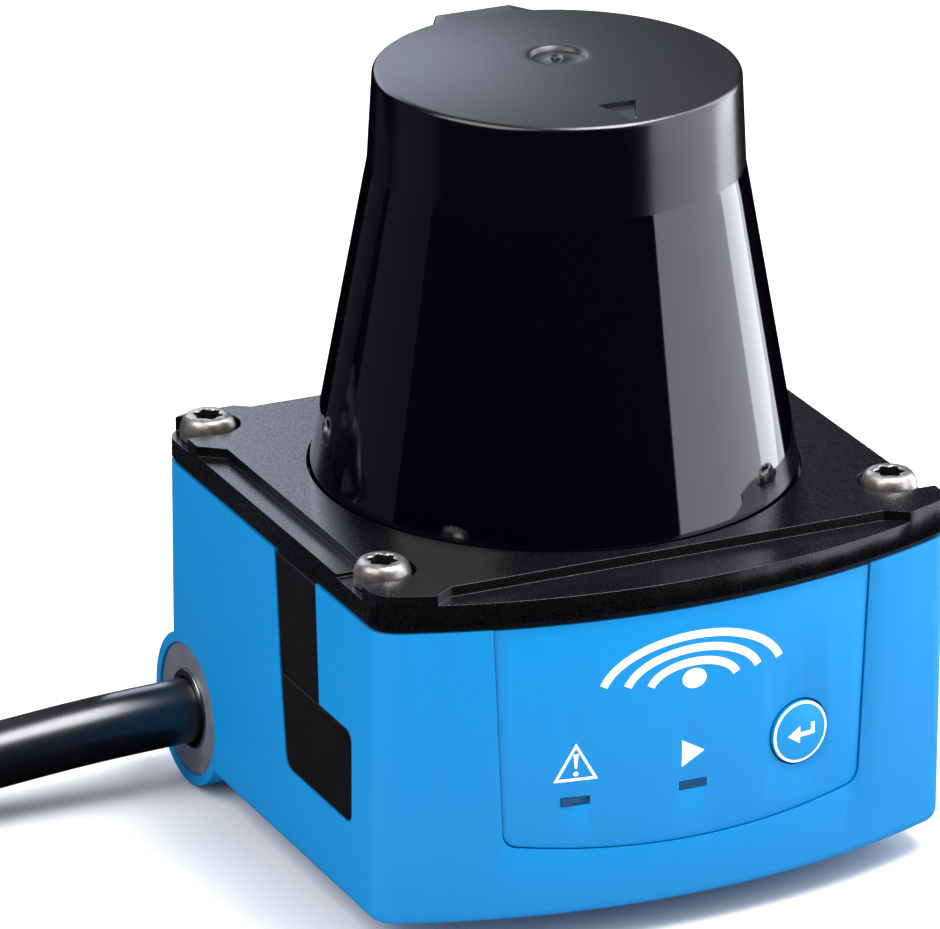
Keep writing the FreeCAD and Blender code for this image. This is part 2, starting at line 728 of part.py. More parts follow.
def optics_carrier():
    """Aluminium plate across the housing, with the tube that holds both bearings."""
    plate = body_prism(wall + 0.4, base_low, base_top)
    cuts = [post(post_radius + 0.3, x, y, base_low - 1, base_top + 1)
            for x, y in SCREW_PLACES]
    cuts += [post(m2_radius + screw_clearance, x, y, base_low - 1, base_top + 1)
             for x, y in CARRIER_PLACES]
    # openings for the ribbon and to save weight
    cuts.append(box(-column_half_width, column_y - 1.2, base_low - 1, column_half_width, column_y,
                    base_top + 1))
    far = half_width - 9.0
    cuts += [rounded(box(x0, -14, base_low - 1, x0 + 5.5, 4, base_top + 1), 2.0)
             for x0 in (-far, far - 5.5)]
    bearing_tube = post(tube_outer, 0, 0, base_top - 0.5, tube_top)
    body = fused([minus(plate, cuts), bearing_tube])
    bore = post(tube_bore, 0, 0, lower_bearing_z, tube_top + 1)
    relief = post(shaft_radius + 0.6, 0, 0, base_low - 1, tube_top + 1)
    return minus(body, [bore, relief])


def ball_bearing(z0):
    """Closed miniature bearing: the shaft runs in its bore."""
    ring = tube(bearing_outer_radius, shaft_radius + running_play, 0, 0, z0, z0 + bearing_width)
    groove = tube(2.55, 2.05, 0, 0, z0 + bearing_width - 0.15, z0 + bearing_width + 1)
    return ring.cut(groove)


def bearing_spacer():
    """Thin tube that keeps the two bearings apart."""
    return tube(bearing_outer_radius, bearing_outer_radius - 0.5, 0, 0,
                lower_bearing_z + bearing_width, upper_bearing_z)


def stator_core():
    """Laminated core with nine teeth round the bearing tube."""
    hub = tube(tube_outer + 1.6, tube_outer, 0, 0, stator_low, stator_high)
    teeth = []
    shoe = tube(stator_radius, stator_radius - 0.8, 0, 0, stator_low, stator_high)
    for k in range(9):
        turn = 40 * k
        tooth = box(tube_outer + 1.2, -0.6, stator_low, stator_radius - 0.5, 0.6, stator_high)
        cap = shoe.common(prism([(0, 0), (12, -2.7), (12, 2.7)], stator_low - 1, stator_high + 1))
        for solid in (tooth, cap):
            solid.rotate(V(0, 0, 0), Z_AXIS, turn)
            teeth.append(solid)
    return fused([hub] + teeth)


def stator_coils():
    """Copper windings, one round each tooth."""
    coils = []
    for k in range(9):
        outer = box(tube_outer + 1.7, -1.05, stator_low - 0.5, stator_radius - 0.9, 1.05, stator_high + 0.5)
        inner = box(tube_outer + 1.0, -0.6, stator_low, stator_radius, 0.6, stator_high)
        coil = outer.cut(inner)
        coil.rotate(V(0, 0, 0), Z_AXIS, 40 * k)
        coils.append(coil)
    return Part.makeCompound(coils)


def rotor_cup():
    """Steel cup over the stator, pressed on the shaft."""
    profile = [(shaft_radius, cup_top - 1.0), (cup_outer - cup_wall, cup_top - 1.0),
               (cup_outer - cup_wall, cup_low), (cup_outer, cup_low), (cup_outer, cup_top),
               (3.4, cup_top), (3.4, cup_top + 2.0), (shaft_radius, cup_top + 2.0)]
    return turned(profile)


def rotor_magnet():
    """Ring magnet inside the cup's wall."""
    return tube(magnet_outer, magnet_inner, 0, 0, cup_low + 0.6, stator_high + 0.8)


def drive_shaft():
    """Ground steel shaft through both bearings."""
    return post(shaft_radius, 0, 0, base_low + 0.4, cup_top + 2.6)


def encoder_disc():
    """Slotted disc round the cup's lower end."""
    disc = tube(disc_outer, cup_outer, 0, 0, cup_low + 0.2, cup_low + 0.6)
    slots = []
    for k in range(36):
        slot = box((cup_outer + disc_outer) / 2, -0.35, cup_low - 1,
                   disc_outer - (disc_outer - cup_outer) * 0.22, 0.35, cup_low + 2)
        slot.rotate(V(0, 0, 0), Z_AXIS, 10 * k)
        slots.append(slot)
    return disc.cut(Part.makeCompound(slots))


def encoder_sensor():
    """Light barrier that straddles the encoder disc's edge."""
    y0 = -(disc_outer + 2.6)
    block = box(-2.5, y0, base_top, 2.5, -(cup_outer + rotor_room), cup_low + 2.6)
    gap = box(-3, -(disc_outer + 0.5), cup_low - 0.35, 3, 0, cup_low + 1.15)
    return block.cut(gap)


def tilted(shape):
    """Turn a shape made flat at the origin to face up and to the front, at the mirror's centre."""
    copy = shape.copy()
    copy.rotate(V(0, 0, 0), X_AXIS, 45)
    copy.translate(V(0, 0, mirror_z))
    return copy


def oval(half_x, half_y, z0, z1):
    """A flat oval plate."""
    ring = Part.Ellipse(V(0, half_y, z0), V(half_x, 0, z0), V(0, 0, z0)) if half_y > half_x else \
        Part.Ellipse(V(half_x, 0, z0), V(0, half_y, z0), V(0, 0, z0))
    return Part.Face(Part.Wire(ring.toShape())).extrude(V(0, 0, z1 - z0))


def scan_mirror():
    """Front-coated oval mirror at 45 degrees, centred on the scan axis."""
    return tilted(oval(mirror_half_width, mirror_half_length, -mirror_thickness, 0))


def mirror_carrier():
    """Moulded hub on the rotor that holds the mirror from behind."""
    low = cup_top
    drum = post(cup_outer - 0.6, 0, 0, low, mirror_z + 9)
    keep_below = Part.makeBox(60, 60, 60, V(-30, -30, -60 - mirror_thickness))
    body = drum.common(tilted(keep_below))
    socket = post(3.45, 0, 0, low - 1, low + 2.7)
    hollow = rounded(box(-6.5, -6.5, low + 3.2, 6.5, 7.5, mirror_z - 4), 1.5)
    hollow = hollow.common(tilted(Part.makeBox(60, 60, 60, V(-30, -30, -62.5 - mirror_thickness))))
    return minus(body, [socket, hollow])


# ---- upper optics ----------------------------------------------------------------------------
head_low = shoulder_z - 0.6
head_high = rim_top - 1.6
head_radius = hood_shoulder_radius - hood_wall - 1.2


def rear_column():
    """Upright that carries the optics head behind the spinning mirror."""
    return box(-column_half_width, column_y, base_top, column_half_width, column_y + column_thickness,
               head_low)


def optics_head():
    """Black barrel under the cap, which holds the receiver lens over the mirror."""
    barrel = tube(head_radius, lens_radius + 0.9, 0, 0, head_low, head_high - 1.4)
    seat = tube(lens_radius + 1.0, lens_radius - 0.9, 0, 0, head_low + 2.8, head_low + 3.6)
    slot = box(-3.3, column_y - 1.0, head_low - 1, 3.3, column_y, head_high)
    return fused([barrel, seat]).cut(slot)


def receiver_lens():
    """Large aspheric lens that gathers the returning light."""
    z0 = head_low + 3.6
    bulge = 1.5
    radius = (lens_radius ** 2 + bulge ** 2) / (2 * bulge)
    dome = Part.makeSphere(radius, V(0, 0, z0 + 1.2 + bulge - radius))
    dome = dome.common(post(lens_radius + 0.85, 0, 0, z0 + 1.1, z0 + 4))
    flat = post(lens_radius + 0.85, 0, 0, z0, z0 + 1.2)
    return fused([flat, dome]).cut(post(2.4, 0, 0, z0 - 1, z0 + 5))


def laser_module():
    """Collimated laser tube through the middle of the receiver lens."""
    return tube(2.35, 1.7, 0, 0, head_low + 1.2, head_high - 1.4)


def laser_lens():
    """Small collimator at the mouth of the laser tube."""
    return post(1.68, 0, 0, head_low + 1.5, head_low + 2.7)


def laser_diode():
    """Can-type diode at the upper end of the laser tube."""
    return post(1.65, 0, 0, head_high - 3.8, head_high - 1.4)


def receiver_board():
    """Round board on the optics head, with the receiver's detector."""
    board = post(head_radius - 0.3, 0, 0, head_high - 1.4, head_high - 0.4)
    return board.cut(box(-3.3, column_y - 1.0, head_high - 3, 3.3, 30, head_high + 1))


def receiver_chip():
    """Detector amplifier on top of the receiver board."""
    return box(4.0, -2.5, head_high - 0.4, 9.0, 2.5, head_high + 0.1)


def head_ribbon():
    """Flat flexible cable that runs up the rear column to the receiver board."""
    y = column_y - 0.05
    return box(-2.9, y - 0.2, board_top + 3.2, 2.9, y, head_high)


def ribbon_header():
    """Board connector that takes the lower end of the ribbon."""
    y = column_y - 0.05
    shell = box(-4.2, y - 1.6, board_top, 4.2, y + 1.2, board_top + 4.0)
    return shell.cut(box(-3.0, y - 0.25, board_top + 1.0, 3.0, y + 0.05, board_top + 5))


# ---- cable: lead, coil, tail and round plug ----------------------------------------------------
cable_radius = cable_diameter / 2
tie_thickness = 0.6
tie_width = 5.0
coil_radius = 37.7              # at the middle of the turns
coil_centre = V(-88.0, boss_y + coil_radius + cable_radius, 0)
coil_low = tie_thickness
coil_high = coil_low + cable_diameter * 1.87
turn_z = coil_low + cable_radius
upper_turn_z = coil_high - cable_radius
plug_radius = 7.5
plug_z = coil_high + plug_radius
# the lead runs straight out of the boss, then sinks to the surface and meets the coil
LEAD_POINTS = [V(-half_width + boss_length, boss_y, boss_z), V(-half_width - 4, boss_y, boss_z),
               V(-52, boss_y, 6.3), V(-71, boss_y + 0.2, 4.1), V(coil_centre.x, boss_y, turn_z)]


def on_coil(turn, z):
    """A point on the coil's middle circle, turn degrees clockwise from its nearest side."""
    a = math.radians(turn)
    return V(coil_centre.x - coil_radius * math.sin(a), coil_centre.y - coil_radius * math.cos(a), z)


# the tail climbs out of the upper turn, lies on it, and bends inwards to the plug, which lies on the coil
tail_z = coil_high + cable_radius + 0.7
plug_start = coil_centre + V(0, 31.0, plug_z)
TAIL_POINTS = [on_coil(290, upper_turn_z + 1.0), on_coil(315, upper_turn_z + 4.4), on_coil(340, tail_z),
               on_coil(365, tail_z), on_coil(390, tail_z), on_coil(415, tail_z), on_coil(440, tail_z + 0.3),
               coil_centre + V(-35.9, 13.3, tail_z + 1.6), coil_centre + V(-27.5, 24.6, plug_z - 0.6),
               coil_centre + V(-14.9, 31.0, plug_z), plug_start]


def bent_tube(name, points, radius):
    """A round tube of straight runs joined by tangent arcs, each as large as its runs allow."""
    edges, start, radii = [], points[0], []
    for before, corner, after in zip(points, points[1:], points[2:]):
        incoming, outgoing = corner - before, after - corner
        half_turn = incoming.getAngle(outgoing) / 2
        reach = 0.45 * min(incoming.Length, outgoing.Length)
        radii.append(reach / math.tan(half_turn))
        a = corner - V(incoming).normalize() * reach
        b = corner + V(outgoing).normalize() * reach
        towards = (a + b) * 0.5 - corner
        sag = radii[-1] / math.cos(half_turn) - radii[-1]
        middle = corner + towards.normalize() * sag
        edges += [Part.LineSegment(start, a).toShape(), Part.Arc(a, middle, b).toShape()]
        start = b
    edges.append(Part.LineSegment(start, points[-1]).toShape())
    path = Part.Wire(edges)
    ring = Part.Wire(Part.makeCircle(radius, points[0], points[1] - points[0]))
    solid = path.makePipeShell([ring], True, True)
    ratio = solid.Volume / (math.pi * radius ** 2 * path.Length)
    print(name, "length", round(path.Length, 1), "radii", [round(r) for r in radii],
          "volume ratio", round(ratio, 3))
    return solid


def cable_coil():
    """Closed ring with the outer shape of the coiled cable."""
    ring = tube(coil_radius + cable_diameter * 1.01, coil_radius - cable_diameter * 1.01,
                coil_centre.x, coil_centre.y, coil_low, coil_high)
    return ring.makeFillet(2.2, [e for e in ring.Edges if abs(e.Length) > 100])


def coil_ties():
    """Two flat straps round the coil."""
    inner_r = coil_radius - cable_diameter * 1.01 - 0.2
    outer_r = coil_radius + cable_diameter * 1.01 + 0.05
    ties = []
    for side in (-1, 1):
        a, b = sorted((coil_centre.x + side * inner_r, coil_centre.x + side * outer_r))
        y0, y1 = coil_centre.y - tie_width / 2, coil_centre.y + tie_width / 2
        t = tie_thickness
        strap = box(a - t, y0, 0, b + t, y1, coil_high + t)
        ties.append(strap.cut(box(a, y0 - 1, coil_low, b, y1 + 1, coil_high)))
    return Part.makeCompound(ties)


def plug_bar(outer, x0, x1):
    """A round bar along X on the plug's axis, between distances from the plug's start."""
    return rod(outer, plug_start + V(x0, 0, 0), plug_start + V(x1, 0, 0))


def plug_boot():
    """Tapered strain relief that grips the cable's sheath."""
    cone = Part.makeCone(cable_radius + 0.9, 6.2, 14.0, plug_start + V(-8.0, 0, 0), X_AXIS)
    cuts = [plug_bar(cable_radius, -9, 0)]
    for k in range(4):
        x = -5.8 + 2.4 * k
        ring = plug_bar(plug_radius, x, x + 0.9).cut(plug_bar(cable_radius + 0.9 + 0.42 * k, x - 1, x + 2))
        cuts.append(ring)
    return minus(cone, cuts)


def plug_body():
    """Moulded grip of the plug with six finger grooves."""
    grip = plug_bar(plug_radius - 0.3, 6.0, 24.0)
    ends = [e for e in grip.Edges
            if e.Length > 30 and abs(e.Vertexes[0].Point.x - plug_start.x - 6) < 1e-3]
    grip = grip.makeFillet(1.0, ends)
    grooves = []
    for k in range(6):
        a = math.radians(60 * k + 30)
        offset = V(0, 8.6 * math.cos(a), 8.6 * math.sin(a))
        grooves.append(rod(2.0, plug_start + V(9, 0, 0) + offset, plug_start + V(22, 0, 0) + offset))
    neck = plug_bar(5.2, 23.5, 27.0)
    return fused([minus(grip, grooves), neck])


def plug_nut():
    """Knurled coupling nut, which turns on the plug's neck."""
    sleeve = plug_bar(plug_radius - 0.1, 24.4, 41.0)
    knurls = []
    for k in range(24):
        a = math.radians(15 * k)
        offset = V(0, 7.6 * math.cos(a), 7.6 * math.sin(a))
        knurls.append(rod(0.45, plug_start + V(25.4, 0, 0) + offset, plug_start + V(36, 0, 0) + offset))
    return minus(sleeve, knurls + [plug_bar(5.26, 23, 42), plug_bar(5.9, 27.5, 42)])


def plug_insert():
    """Moulded contact carrier with its keyway."""
    carrier = plug_bar(4.2, 27.0, 39.0).cut(plug_bar(3.4, 31.0, 40.0))
    slot = box(plug_start.x + 31, plug_start.y - 0.5, plug_start.z + 3.2, plug_start.x + 40,
               plug_start.y + 0.5, plug_start.z + 5)
    return carrier.cut(slot)


def plug_pins():
    """Twelve gilt pins in two rings."""
    spots = [(2.55, 40 * k) for k in range(9)] + [(0.95, 120 * k) for k in range(3)]
    pins = []
    for r, turn in spots:
        a = math.radians(turn)
        offset = V(0, r * math.cos(a), r * math.sin(a))
        pins.append(rod(0.35, plug_start + V(31.0, 0, 0) + offset, plug_start + V(37.5, 0, 0) + offset))
    return Part.makeCompound(pins)


# ---- the whole object ------------------------------------------------------------------------
keep("lower_housing", lower_housing())
keep("housing_gasket", housing_gasket())
keep("flange_plate", flange_plate())
keep("hood_seal", hood_seal())
keep("optics_hood", optics_hood())
keep("flange_screws", screws_at(SCREW_PLACES, plate_top - flange_pocket_depth, m3_radius, flange_head_radius,
                                flange_head_height, flange_screw_length, 1.38))
keep("front_panel_membrane", panel_membrane())
keep("panel_button", button_cap())
keep("button_switch", tact_switch())
keep("panel_board", panel_board())
keep("alert_light_guide", light_guide(-light_x))
keep("ready_light_guide", light_guide(0.0))
keep("status_leds", status_leds())
keep("service_cover_strap", cover_strap())
keep("service_cover_flap", cover_flap())
keep("service_port", usb_receptacle())
keep("main_board", main_board())
keep("main_board_components", board_components())
keep("main_board_screws", screws_at(BOARD_PLACES, board_top, m25_radius, board_head_radius, 1.5,
                                    board_screw_length, 1.0))
keep("cable_gland_ring", gland_ring())
keep("cable_sleeve", cable_sleeve())
keep("cable_wires", cable_wires())
keep("cable_wire_header", wire_header())
keep("optics_carrier", optics_carrier())
keep("optics_carrier_screws", screws_at(CARRIER_PLACES, base_top, m2_radius, carrier_head_radius, 1.3,
                                        carrier_screw_length, 0.9))
keep("lower_bearing", ball_bearing(lower_bearing_z))
keep("upper_bearing", ball_bearing(upper_bearing_z))
keep("bearing_spacer", bearing_spacer())
keep("motor_stator", stator_core())
keep("motor_coils", stator_coils())
keep("drive_shaft", drive_shaft())
keep("rotor_cup", rotor_cup())
keep("rotor_magnet", rotor_magnet())
keep("encoder_disc", encoder_disc())
keep("encoder_sensor", encoder_sensor())
keep("mirror_carrier", mirror_carrier())
keep("scan_mirror", scan_mirror())
keep("rear_column", rear_column())
keep("optics_head", optics_head())
keep("receiver_lens", receiver_lens())
keep("laser_tube", laser_module())
keep("laser_lens", laser_lens())
keep("laser_diode", laser_diode())
keep("receiver_board", receiver_board())
keep("receiver_chip", receiver_chip())
keep("head_ribbon", head_ribbon())
keep("ribbon_header", ribbon_header())
keep("cable_lead", bent_tube("cable_lead", LEAD_POINTS, cable_radius))
keep("cable_coil", cable_coil())
keep("coil_ties", coil_ties())
keep("cable_tail", bent_tube("cable_tail", TAIL_POINTS, cable_radius))
keep("plug_boot", plug_boot())
keep("plug_body", plug_body())
keep("plug_nut", plug_nut())
keep("plug_insert", plug_insert())
keep("plug_pins", plug_pins())

os.makedirs("parts", exist_ok=True)
for name, shape in pieces.items():
    if not shape.isValid():
        print("warning: not valid:", name)
    shape.exportStep("parts/" + name + ".step")
    print(name, len(shape.Solids), "solids", round(shape.Volume, 1), "mm3")
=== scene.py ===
"""Looks of the compact two-dimensional lidar scanner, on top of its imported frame.

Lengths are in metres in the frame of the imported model, and fields that end in _mm are in
millimetres.
"""

import logging
import math
from collections.abc import Callable
from dataclasses import dataclass
from enum import Enum

import bpy
import numpy as np
from mathutils import Matrix, Vector

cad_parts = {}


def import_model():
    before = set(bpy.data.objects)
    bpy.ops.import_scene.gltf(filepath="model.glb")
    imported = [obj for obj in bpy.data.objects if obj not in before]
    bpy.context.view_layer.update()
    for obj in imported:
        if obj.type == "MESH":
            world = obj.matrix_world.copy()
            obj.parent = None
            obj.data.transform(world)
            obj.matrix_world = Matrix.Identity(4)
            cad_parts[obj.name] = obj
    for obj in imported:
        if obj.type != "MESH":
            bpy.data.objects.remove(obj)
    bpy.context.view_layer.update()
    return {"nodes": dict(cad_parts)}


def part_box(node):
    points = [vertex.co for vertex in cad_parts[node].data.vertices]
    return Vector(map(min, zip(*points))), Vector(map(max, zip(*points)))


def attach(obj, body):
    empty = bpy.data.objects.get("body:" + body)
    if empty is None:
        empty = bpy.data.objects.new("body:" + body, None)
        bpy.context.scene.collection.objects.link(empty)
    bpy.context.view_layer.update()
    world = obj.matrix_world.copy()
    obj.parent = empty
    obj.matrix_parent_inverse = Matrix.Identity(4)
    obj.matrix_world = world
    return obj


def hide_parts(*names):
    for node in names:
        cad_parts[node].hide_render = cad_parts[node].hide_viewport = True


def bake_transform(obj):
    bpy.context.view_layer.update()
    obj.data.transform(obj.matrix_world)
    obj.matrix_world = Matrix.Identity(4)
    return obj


LOG = logging.getLogger("lidar_scanner")
MM = 0.001

Surface = tuple[np.ndarray, list[list[int]]]        # vertices and faces of one closed surface
Lay = Callable[[np.ndarray, float], np.ndarray]     # lays flat print on a piece, at a distance

# Numbers of the sockets of Blender's Map Range node, and of its Mix node's two kinds.
VALUE, FROM_LOW, FROM_HIGH, TO_LOW, TO_HIGH = range(5)
MIX_SHARE, MIX_VALUE_A, MIX_VALUE_B, MIX_COLOUR_A, MIX_COLOUR_B = 0, 2, 3, 6, 7
MIXED_VALUE, MIXED_COLOUR = 0, 2
NOISE_LOW, NOISE_HIGH = 0.3, 0.7                    # most of a noise's values lie between these
EVENLY = (1, 1, 1)                                  # a pattern that isn't drawn out


# ---- small tools ------------------------------------------------------------------------------
def linear(colour: str) -> tuple[float, float, float, float]:
    """Turn an sRGB hex colour into linear red, green, blue and alpha.

    Args:
        colour: Six hex digits after a hash sign.

    Returns:
        The four linear values, alpha being 1.
    """
    parts = [int(colour[k:k + 2], 16) / 255 for k in (1, 3, 5)]
    red, green, blue = (p / 12.92 if p <= 0.04045 else ((p + 0.055) / 1.055) ** 2.4 for p in parts)
    return red, green, blue, 1.0


def add_node(tree: bpy.types.NodeTree, kind: str, inputs: dict | None = None,
             **settings: object) -> bpy.types.Node:
    """Add one node to a tree, with its settings and what feeds it.

    Args:
        tree: The node tree.
        kind: Blender's name of the node type.
        inputs: For an input's name or number, either a socket that feeds it or its own value.
        **settings: The node's other settings.

    Returns:
        The new node.
    """
    made = tree.nodes.new(kind)
    for name, value in settings.items():
        setattr(made, name, value)
    for name, value in (inputs or {}).items():
        if isinstance(value, bpy.types.NodeSocket):
            tree.links.new(value, made.inputs[name])
        else:
            made.inputs[name].default_value = value
    return made


def closed_loft(rings: np.ndarray) -> Surface:
    """Join closed rings of points into one closed surface.

    Neighbouring rings are joined by four-sided faces, and the first and last ring are each closed
    by triangles that meet at the mean of the ring's points. The surface is turned inside out if
    its signed volume, the sum of each triangle's triple product, comes out below zero.

    Args:
        rings: Points of shape (rings, points in a ring, 3).

    Returns:
        The vertices and the faces.
    """
    m, n, _ = rings.shape
    index = np.arange(m * n).reshape(m, n)
    ahead = np.roll(index, -1, axis=1)
    quads = np.stack([index[:-1], ahead[:-1], ahead[1:], index[1:]], axis=-1).reshape(-1, 4)
    first = np.stack([ahead[0], index[0], np.full(n, m * n)], axis=-1)
    last = np.stack([index[-1], ahead[-1], np.full(n, m * n + 1)], axis=-1)
    points = np.vstack([rings.reshape(-1, 3), rings[0].mean(axis=0), rings[-1].mean(axis=0)])
    triangles = np.vstack([quads[:, [0, 1, 2]], quads[:, [0, 2, 3]], first, last])
    a, b, c = (points[triangles[:, k]] for k in range(3))
    faces = quads.tolist() + first.tolist() + last.tolist()
    if np.einsum("ij,ij->i", a, np.cross(b, c)).sum() < 0:
        faces = [face[::-1] for face in faces]
    return points, faces


def closed_ring(loops: np.ndarray) -> Surface:
    """Join closed loops to each other and the last one back to the first.

    Args:
        loops: Points of shape (loops, points in a loop, 3), in order round the profile.

    Returns:
        The vertices and the faces, turned so that the signed volume is above zero.
    """
    m, n, _ = loops.shape
    index = np.arange(m * n).reshape(m, n)
    ahead, below = np.roll(index, -1, axis=1), np.roll(index, -1, axis=0)
    faces = np.stack([index, ahead, np.roll(below, -1, axis=1), below], axis=-1).reshape(-1, 4)
    points = loops.reshape(-1, 3)
    a, b, c = (points[faces[:, k]] for k in range(3))
    if np.einsum("ij,ij->i", a, np.cross(b, c)).sum() < 0:
        faces = faces[:, ::-1]
    return points, faces.tolist()


def mesh_piece(name: str, parts: list[Surface], body: str, sharp: float) -> bpy.types.Object:
    """Make one object from several closed surfaces, smooth but for edges sharper than an angle.

    Args:
        name: The piece's name.
        parts: Vertices in metres and faces of each closed surface.
        body: The body that the piece rides on, or an empty string for one that is left unattached.
        sharp: Edges that turn by more than this many degrees stay sharp.

    Returns:
        The new object, with its place in its mesh.
    """
    points, faces, start = [], [], 0
    for vertices, polygons in parts:
        points.append(vertices)
        faces += [[corner + start for corner in polygon] for polygon in polygons]
        start += len(vertices)
    mesh = bpy.data.meshes.new(name)
    mesh.from_pydata(np.vstack(points).tolist(), [], faces)
    mesh.validate()
    mesh.shade_smooth()
    mesh.set_sharp_from_angle(angle=math.radians(sharp))
    piece = bpy.data.objects.new(name, mesh)
    bpy.context.scene.collection.objects.link(piece)
    if body:
        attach(piece, body)
    LOG.info("%s: %d vertices", name, start)
    return piece


def dress(piece: bpy.types.Object, material: bpy.types.Material) -> None:
    """Give every material slot of a piece, or a first one, the same material.

    Args:
        piece: A mesh or a curve.
        material: The material of its finish.
    """
    if not piece.data.materials:
        piece.data.materials.append(material)
    for place in piece.material_slots:
        place.material = material


# ---- finishes -----------------------------------------------------------------------------------
class Grain(Enum):
    """How the fine relief of a surface runs."""

    EVEN = "even"           # cast, moulded or sprayed: the same in every direction
    DRAWN_X = "drawn_x"     # drawn, extruded or brushed along X
    DRAWN_Y = "drawn_y"
    DRAWN_Z = "drawn_z"
    TURNED = "turned"       # rings round an upright axis
    WOVEN = "woven"         # two crossing threads
    WOUND = "wound"         # wire beside wire


STRETCH = {Grain.DRAWN_X: (0.06, 1, 1), Grain.DRAWN_Y: (1, 0.06, 1), Grain.DRAWN_Z: (1, 1, 0.06)}


@dataclass(frozen=True)
class Finish:
    """One finish: what the piece is made of and how its surface was made.

    A pattern's scale is one over its real size, on coordinates that are counted in millimetres.
    """

    name: str
    colour: str
    roughness: float
    metallic: float = 0.0
    ior: float = 1.5
    coat: float = 0.0
    coat_roughness: float = 0.1
    transmission: float = 0.0
    patch_colour: str = ""          # colour of wear, dust or uneven pigment
    patch_mm: float = 9.0
    patch_share: float = 0.25
    grain: Grain = Grain.EVEN
    grain_mm: float = 0.35
    relief_mm: float = 0.01
    swing: float = 0.06             # how far the roughness strays to each side

    def places(self, tree: bpy.types.NodeTree,
               stretch: tuple[float, float, float] = EVENLY) -> bpy.types.NodeSocket:
        """Object coordinates in millimetres, drawn out where the stretch is below 1.

        Args:
            tree: The material's node tree.
            stretch: What each coordinate is multiplied with.

        Returns:
            The socket of the coordinates.
        """
        coords = add_node(tree, "ShaderNodeTexCoord").outputs["Object"]
        scale = tuple(share / MM for share in stretch)
        mapped = add_node(tree, "ShaderNodeMapping", {"Vector": coords, "Scale": scale})
        return mapped.outputs["Vector"]

    def relief(self, tree: bpy.types.NodeTree) -> bpy.types.NodeSocket:
        """The height of the fine relief, from 0 to 1.

        Even and drawn grain is one noise, stretched along the drawing direction. Turned, woven and
        wound grain is one or two waves whose length is the grain's size: Blender's wave texture
        has a length of 0.314 at a scale of 1.

        Args:
            tree: The material's node tree.

        Returns:
            The socket of the height.
        """
        places = self.places(tree, STRETCH.get(self.grain, EVENLY))
        if self.grain not in (Grain.WOVEN, Grain.WOUND, Grain.TURNED):
            noise = {"Vector": places, "Scale": 1 / self.grain_mm, "Detail": 3.0, "Roughness": 0.55}
            return add_node(tree, "ShaderNodeTexNoise", noise).outputs["Fac"]
        wave = {"Vector": places, "Scale": 0.314 / self.grain_mm, "Distortion": 0.4, "Detail": 1.0}
        kind = {"wave_type": "BANDS", "bands_direction": "Z"}
        if self.grain is Grain.TURNED:
            kind = {"wave_type": "RINGS", "rings_direction": "Z"}
        first = add_node(tree, "ShaderNodeTexWave", wave, **kind)
        if self.grain is not Grain.WOVEN:
            return first.outputs["Fac"]
        second = add_node(tree, "ShaderNodeTexWave", wave, wave_type="BANDS",
                          bands_direction="DIAGONAL")
        crossed = {0: first.outputs["Fac"], 1: second.outputs["Fac"]}
        return add_node(tree, "ShaderNodeMath", crossed, operation="MULTIPLY").outputs[0]

    def shade(self, tree: bpy.types.NodeTree, shader: bpy.types.Node) -> None:
        """Feed the shader's colour, roughness and normal from the patterns.

        Args:
            tree: The material's node tree.
            shader: The shader.
        """
        relief = self.relief(tree)
        patches = add_node(tree, "ShaderNodeTexNoise", {
            "Vector": self.places(tree), "Scale": 1 / self.patch_mm, "Detail": 4.0})
        share = add_node(tree, "ShaderNodeMapRange", {
            VALUE: patches.outputs["Fac"], FROM_LOW: 0.35, FROM_HIGH: 0.75, TO_LOW: 0.0,
            TO_HIGH: self.patch_share})
        mixed = add_node(tree, "ShaderNodeMix", {
            MIX_SHARE: share.outputs[0], MIX_COLOUR_A: linear(self.colour),
            MIX_COLOUR_B: linear(self.patch_colour or self.colour)}, data_type="RGBA")
        tree.links.new(mixed.outputs[MIXED_COLOUR], shader.inputs["Base Color"])
        rough = add_node(tree, "ShaderNodeMapRange", {
            VALUE: relief, FROM_LOW: NOISE_LOW, FROM_HIGH: NOISE_HIGH,
            TO_LOW: max(self.roughness - self.swing, 0.02),
            TO_HIGH: min(self.roughness + self.swing, 1.0)})
        tree.links.new(rough.outputs[0], shader.inputs["Roughness"])
        bump = add_node(tree, "ShaderNodeBump", {"Height": relief, "Strength": 1.0,
                                                 "Distance": self.relief_mm * MM})
        tree.links.new(bump.outputs["Normal"], shader.inputs["Normal"])

    def material(self) -> bpy.types.Material:
        """The finished material, built once.

        Returns:
            The material that carries this finish's name.
        """
        made = bpy.data.materials.get(self.name)
        if made:
            return made
        made = bpy.data.materials.new(self.name)
        made.use_nodes = True
        made.diffuse_color = linear(self.colour)
        tree = made.node_tree
        tree.nodes.clear()
        shader = add_node(tree, "ShaderNodeBsdfPrincipled", {
            "Base Color": linear(self.colour), "Metallic": self.metallic, "IOR": self.ior,
            "Coat Weight": self.coat, "Coat Roughness": self.coat_roughness,
            "Transmission Weight": self.transmission})
        self.shade(tree, shader)
        add_node(tree, "ShaderNodeOutputMaterial", {"Surface": shader.outputs[0]})
        return made


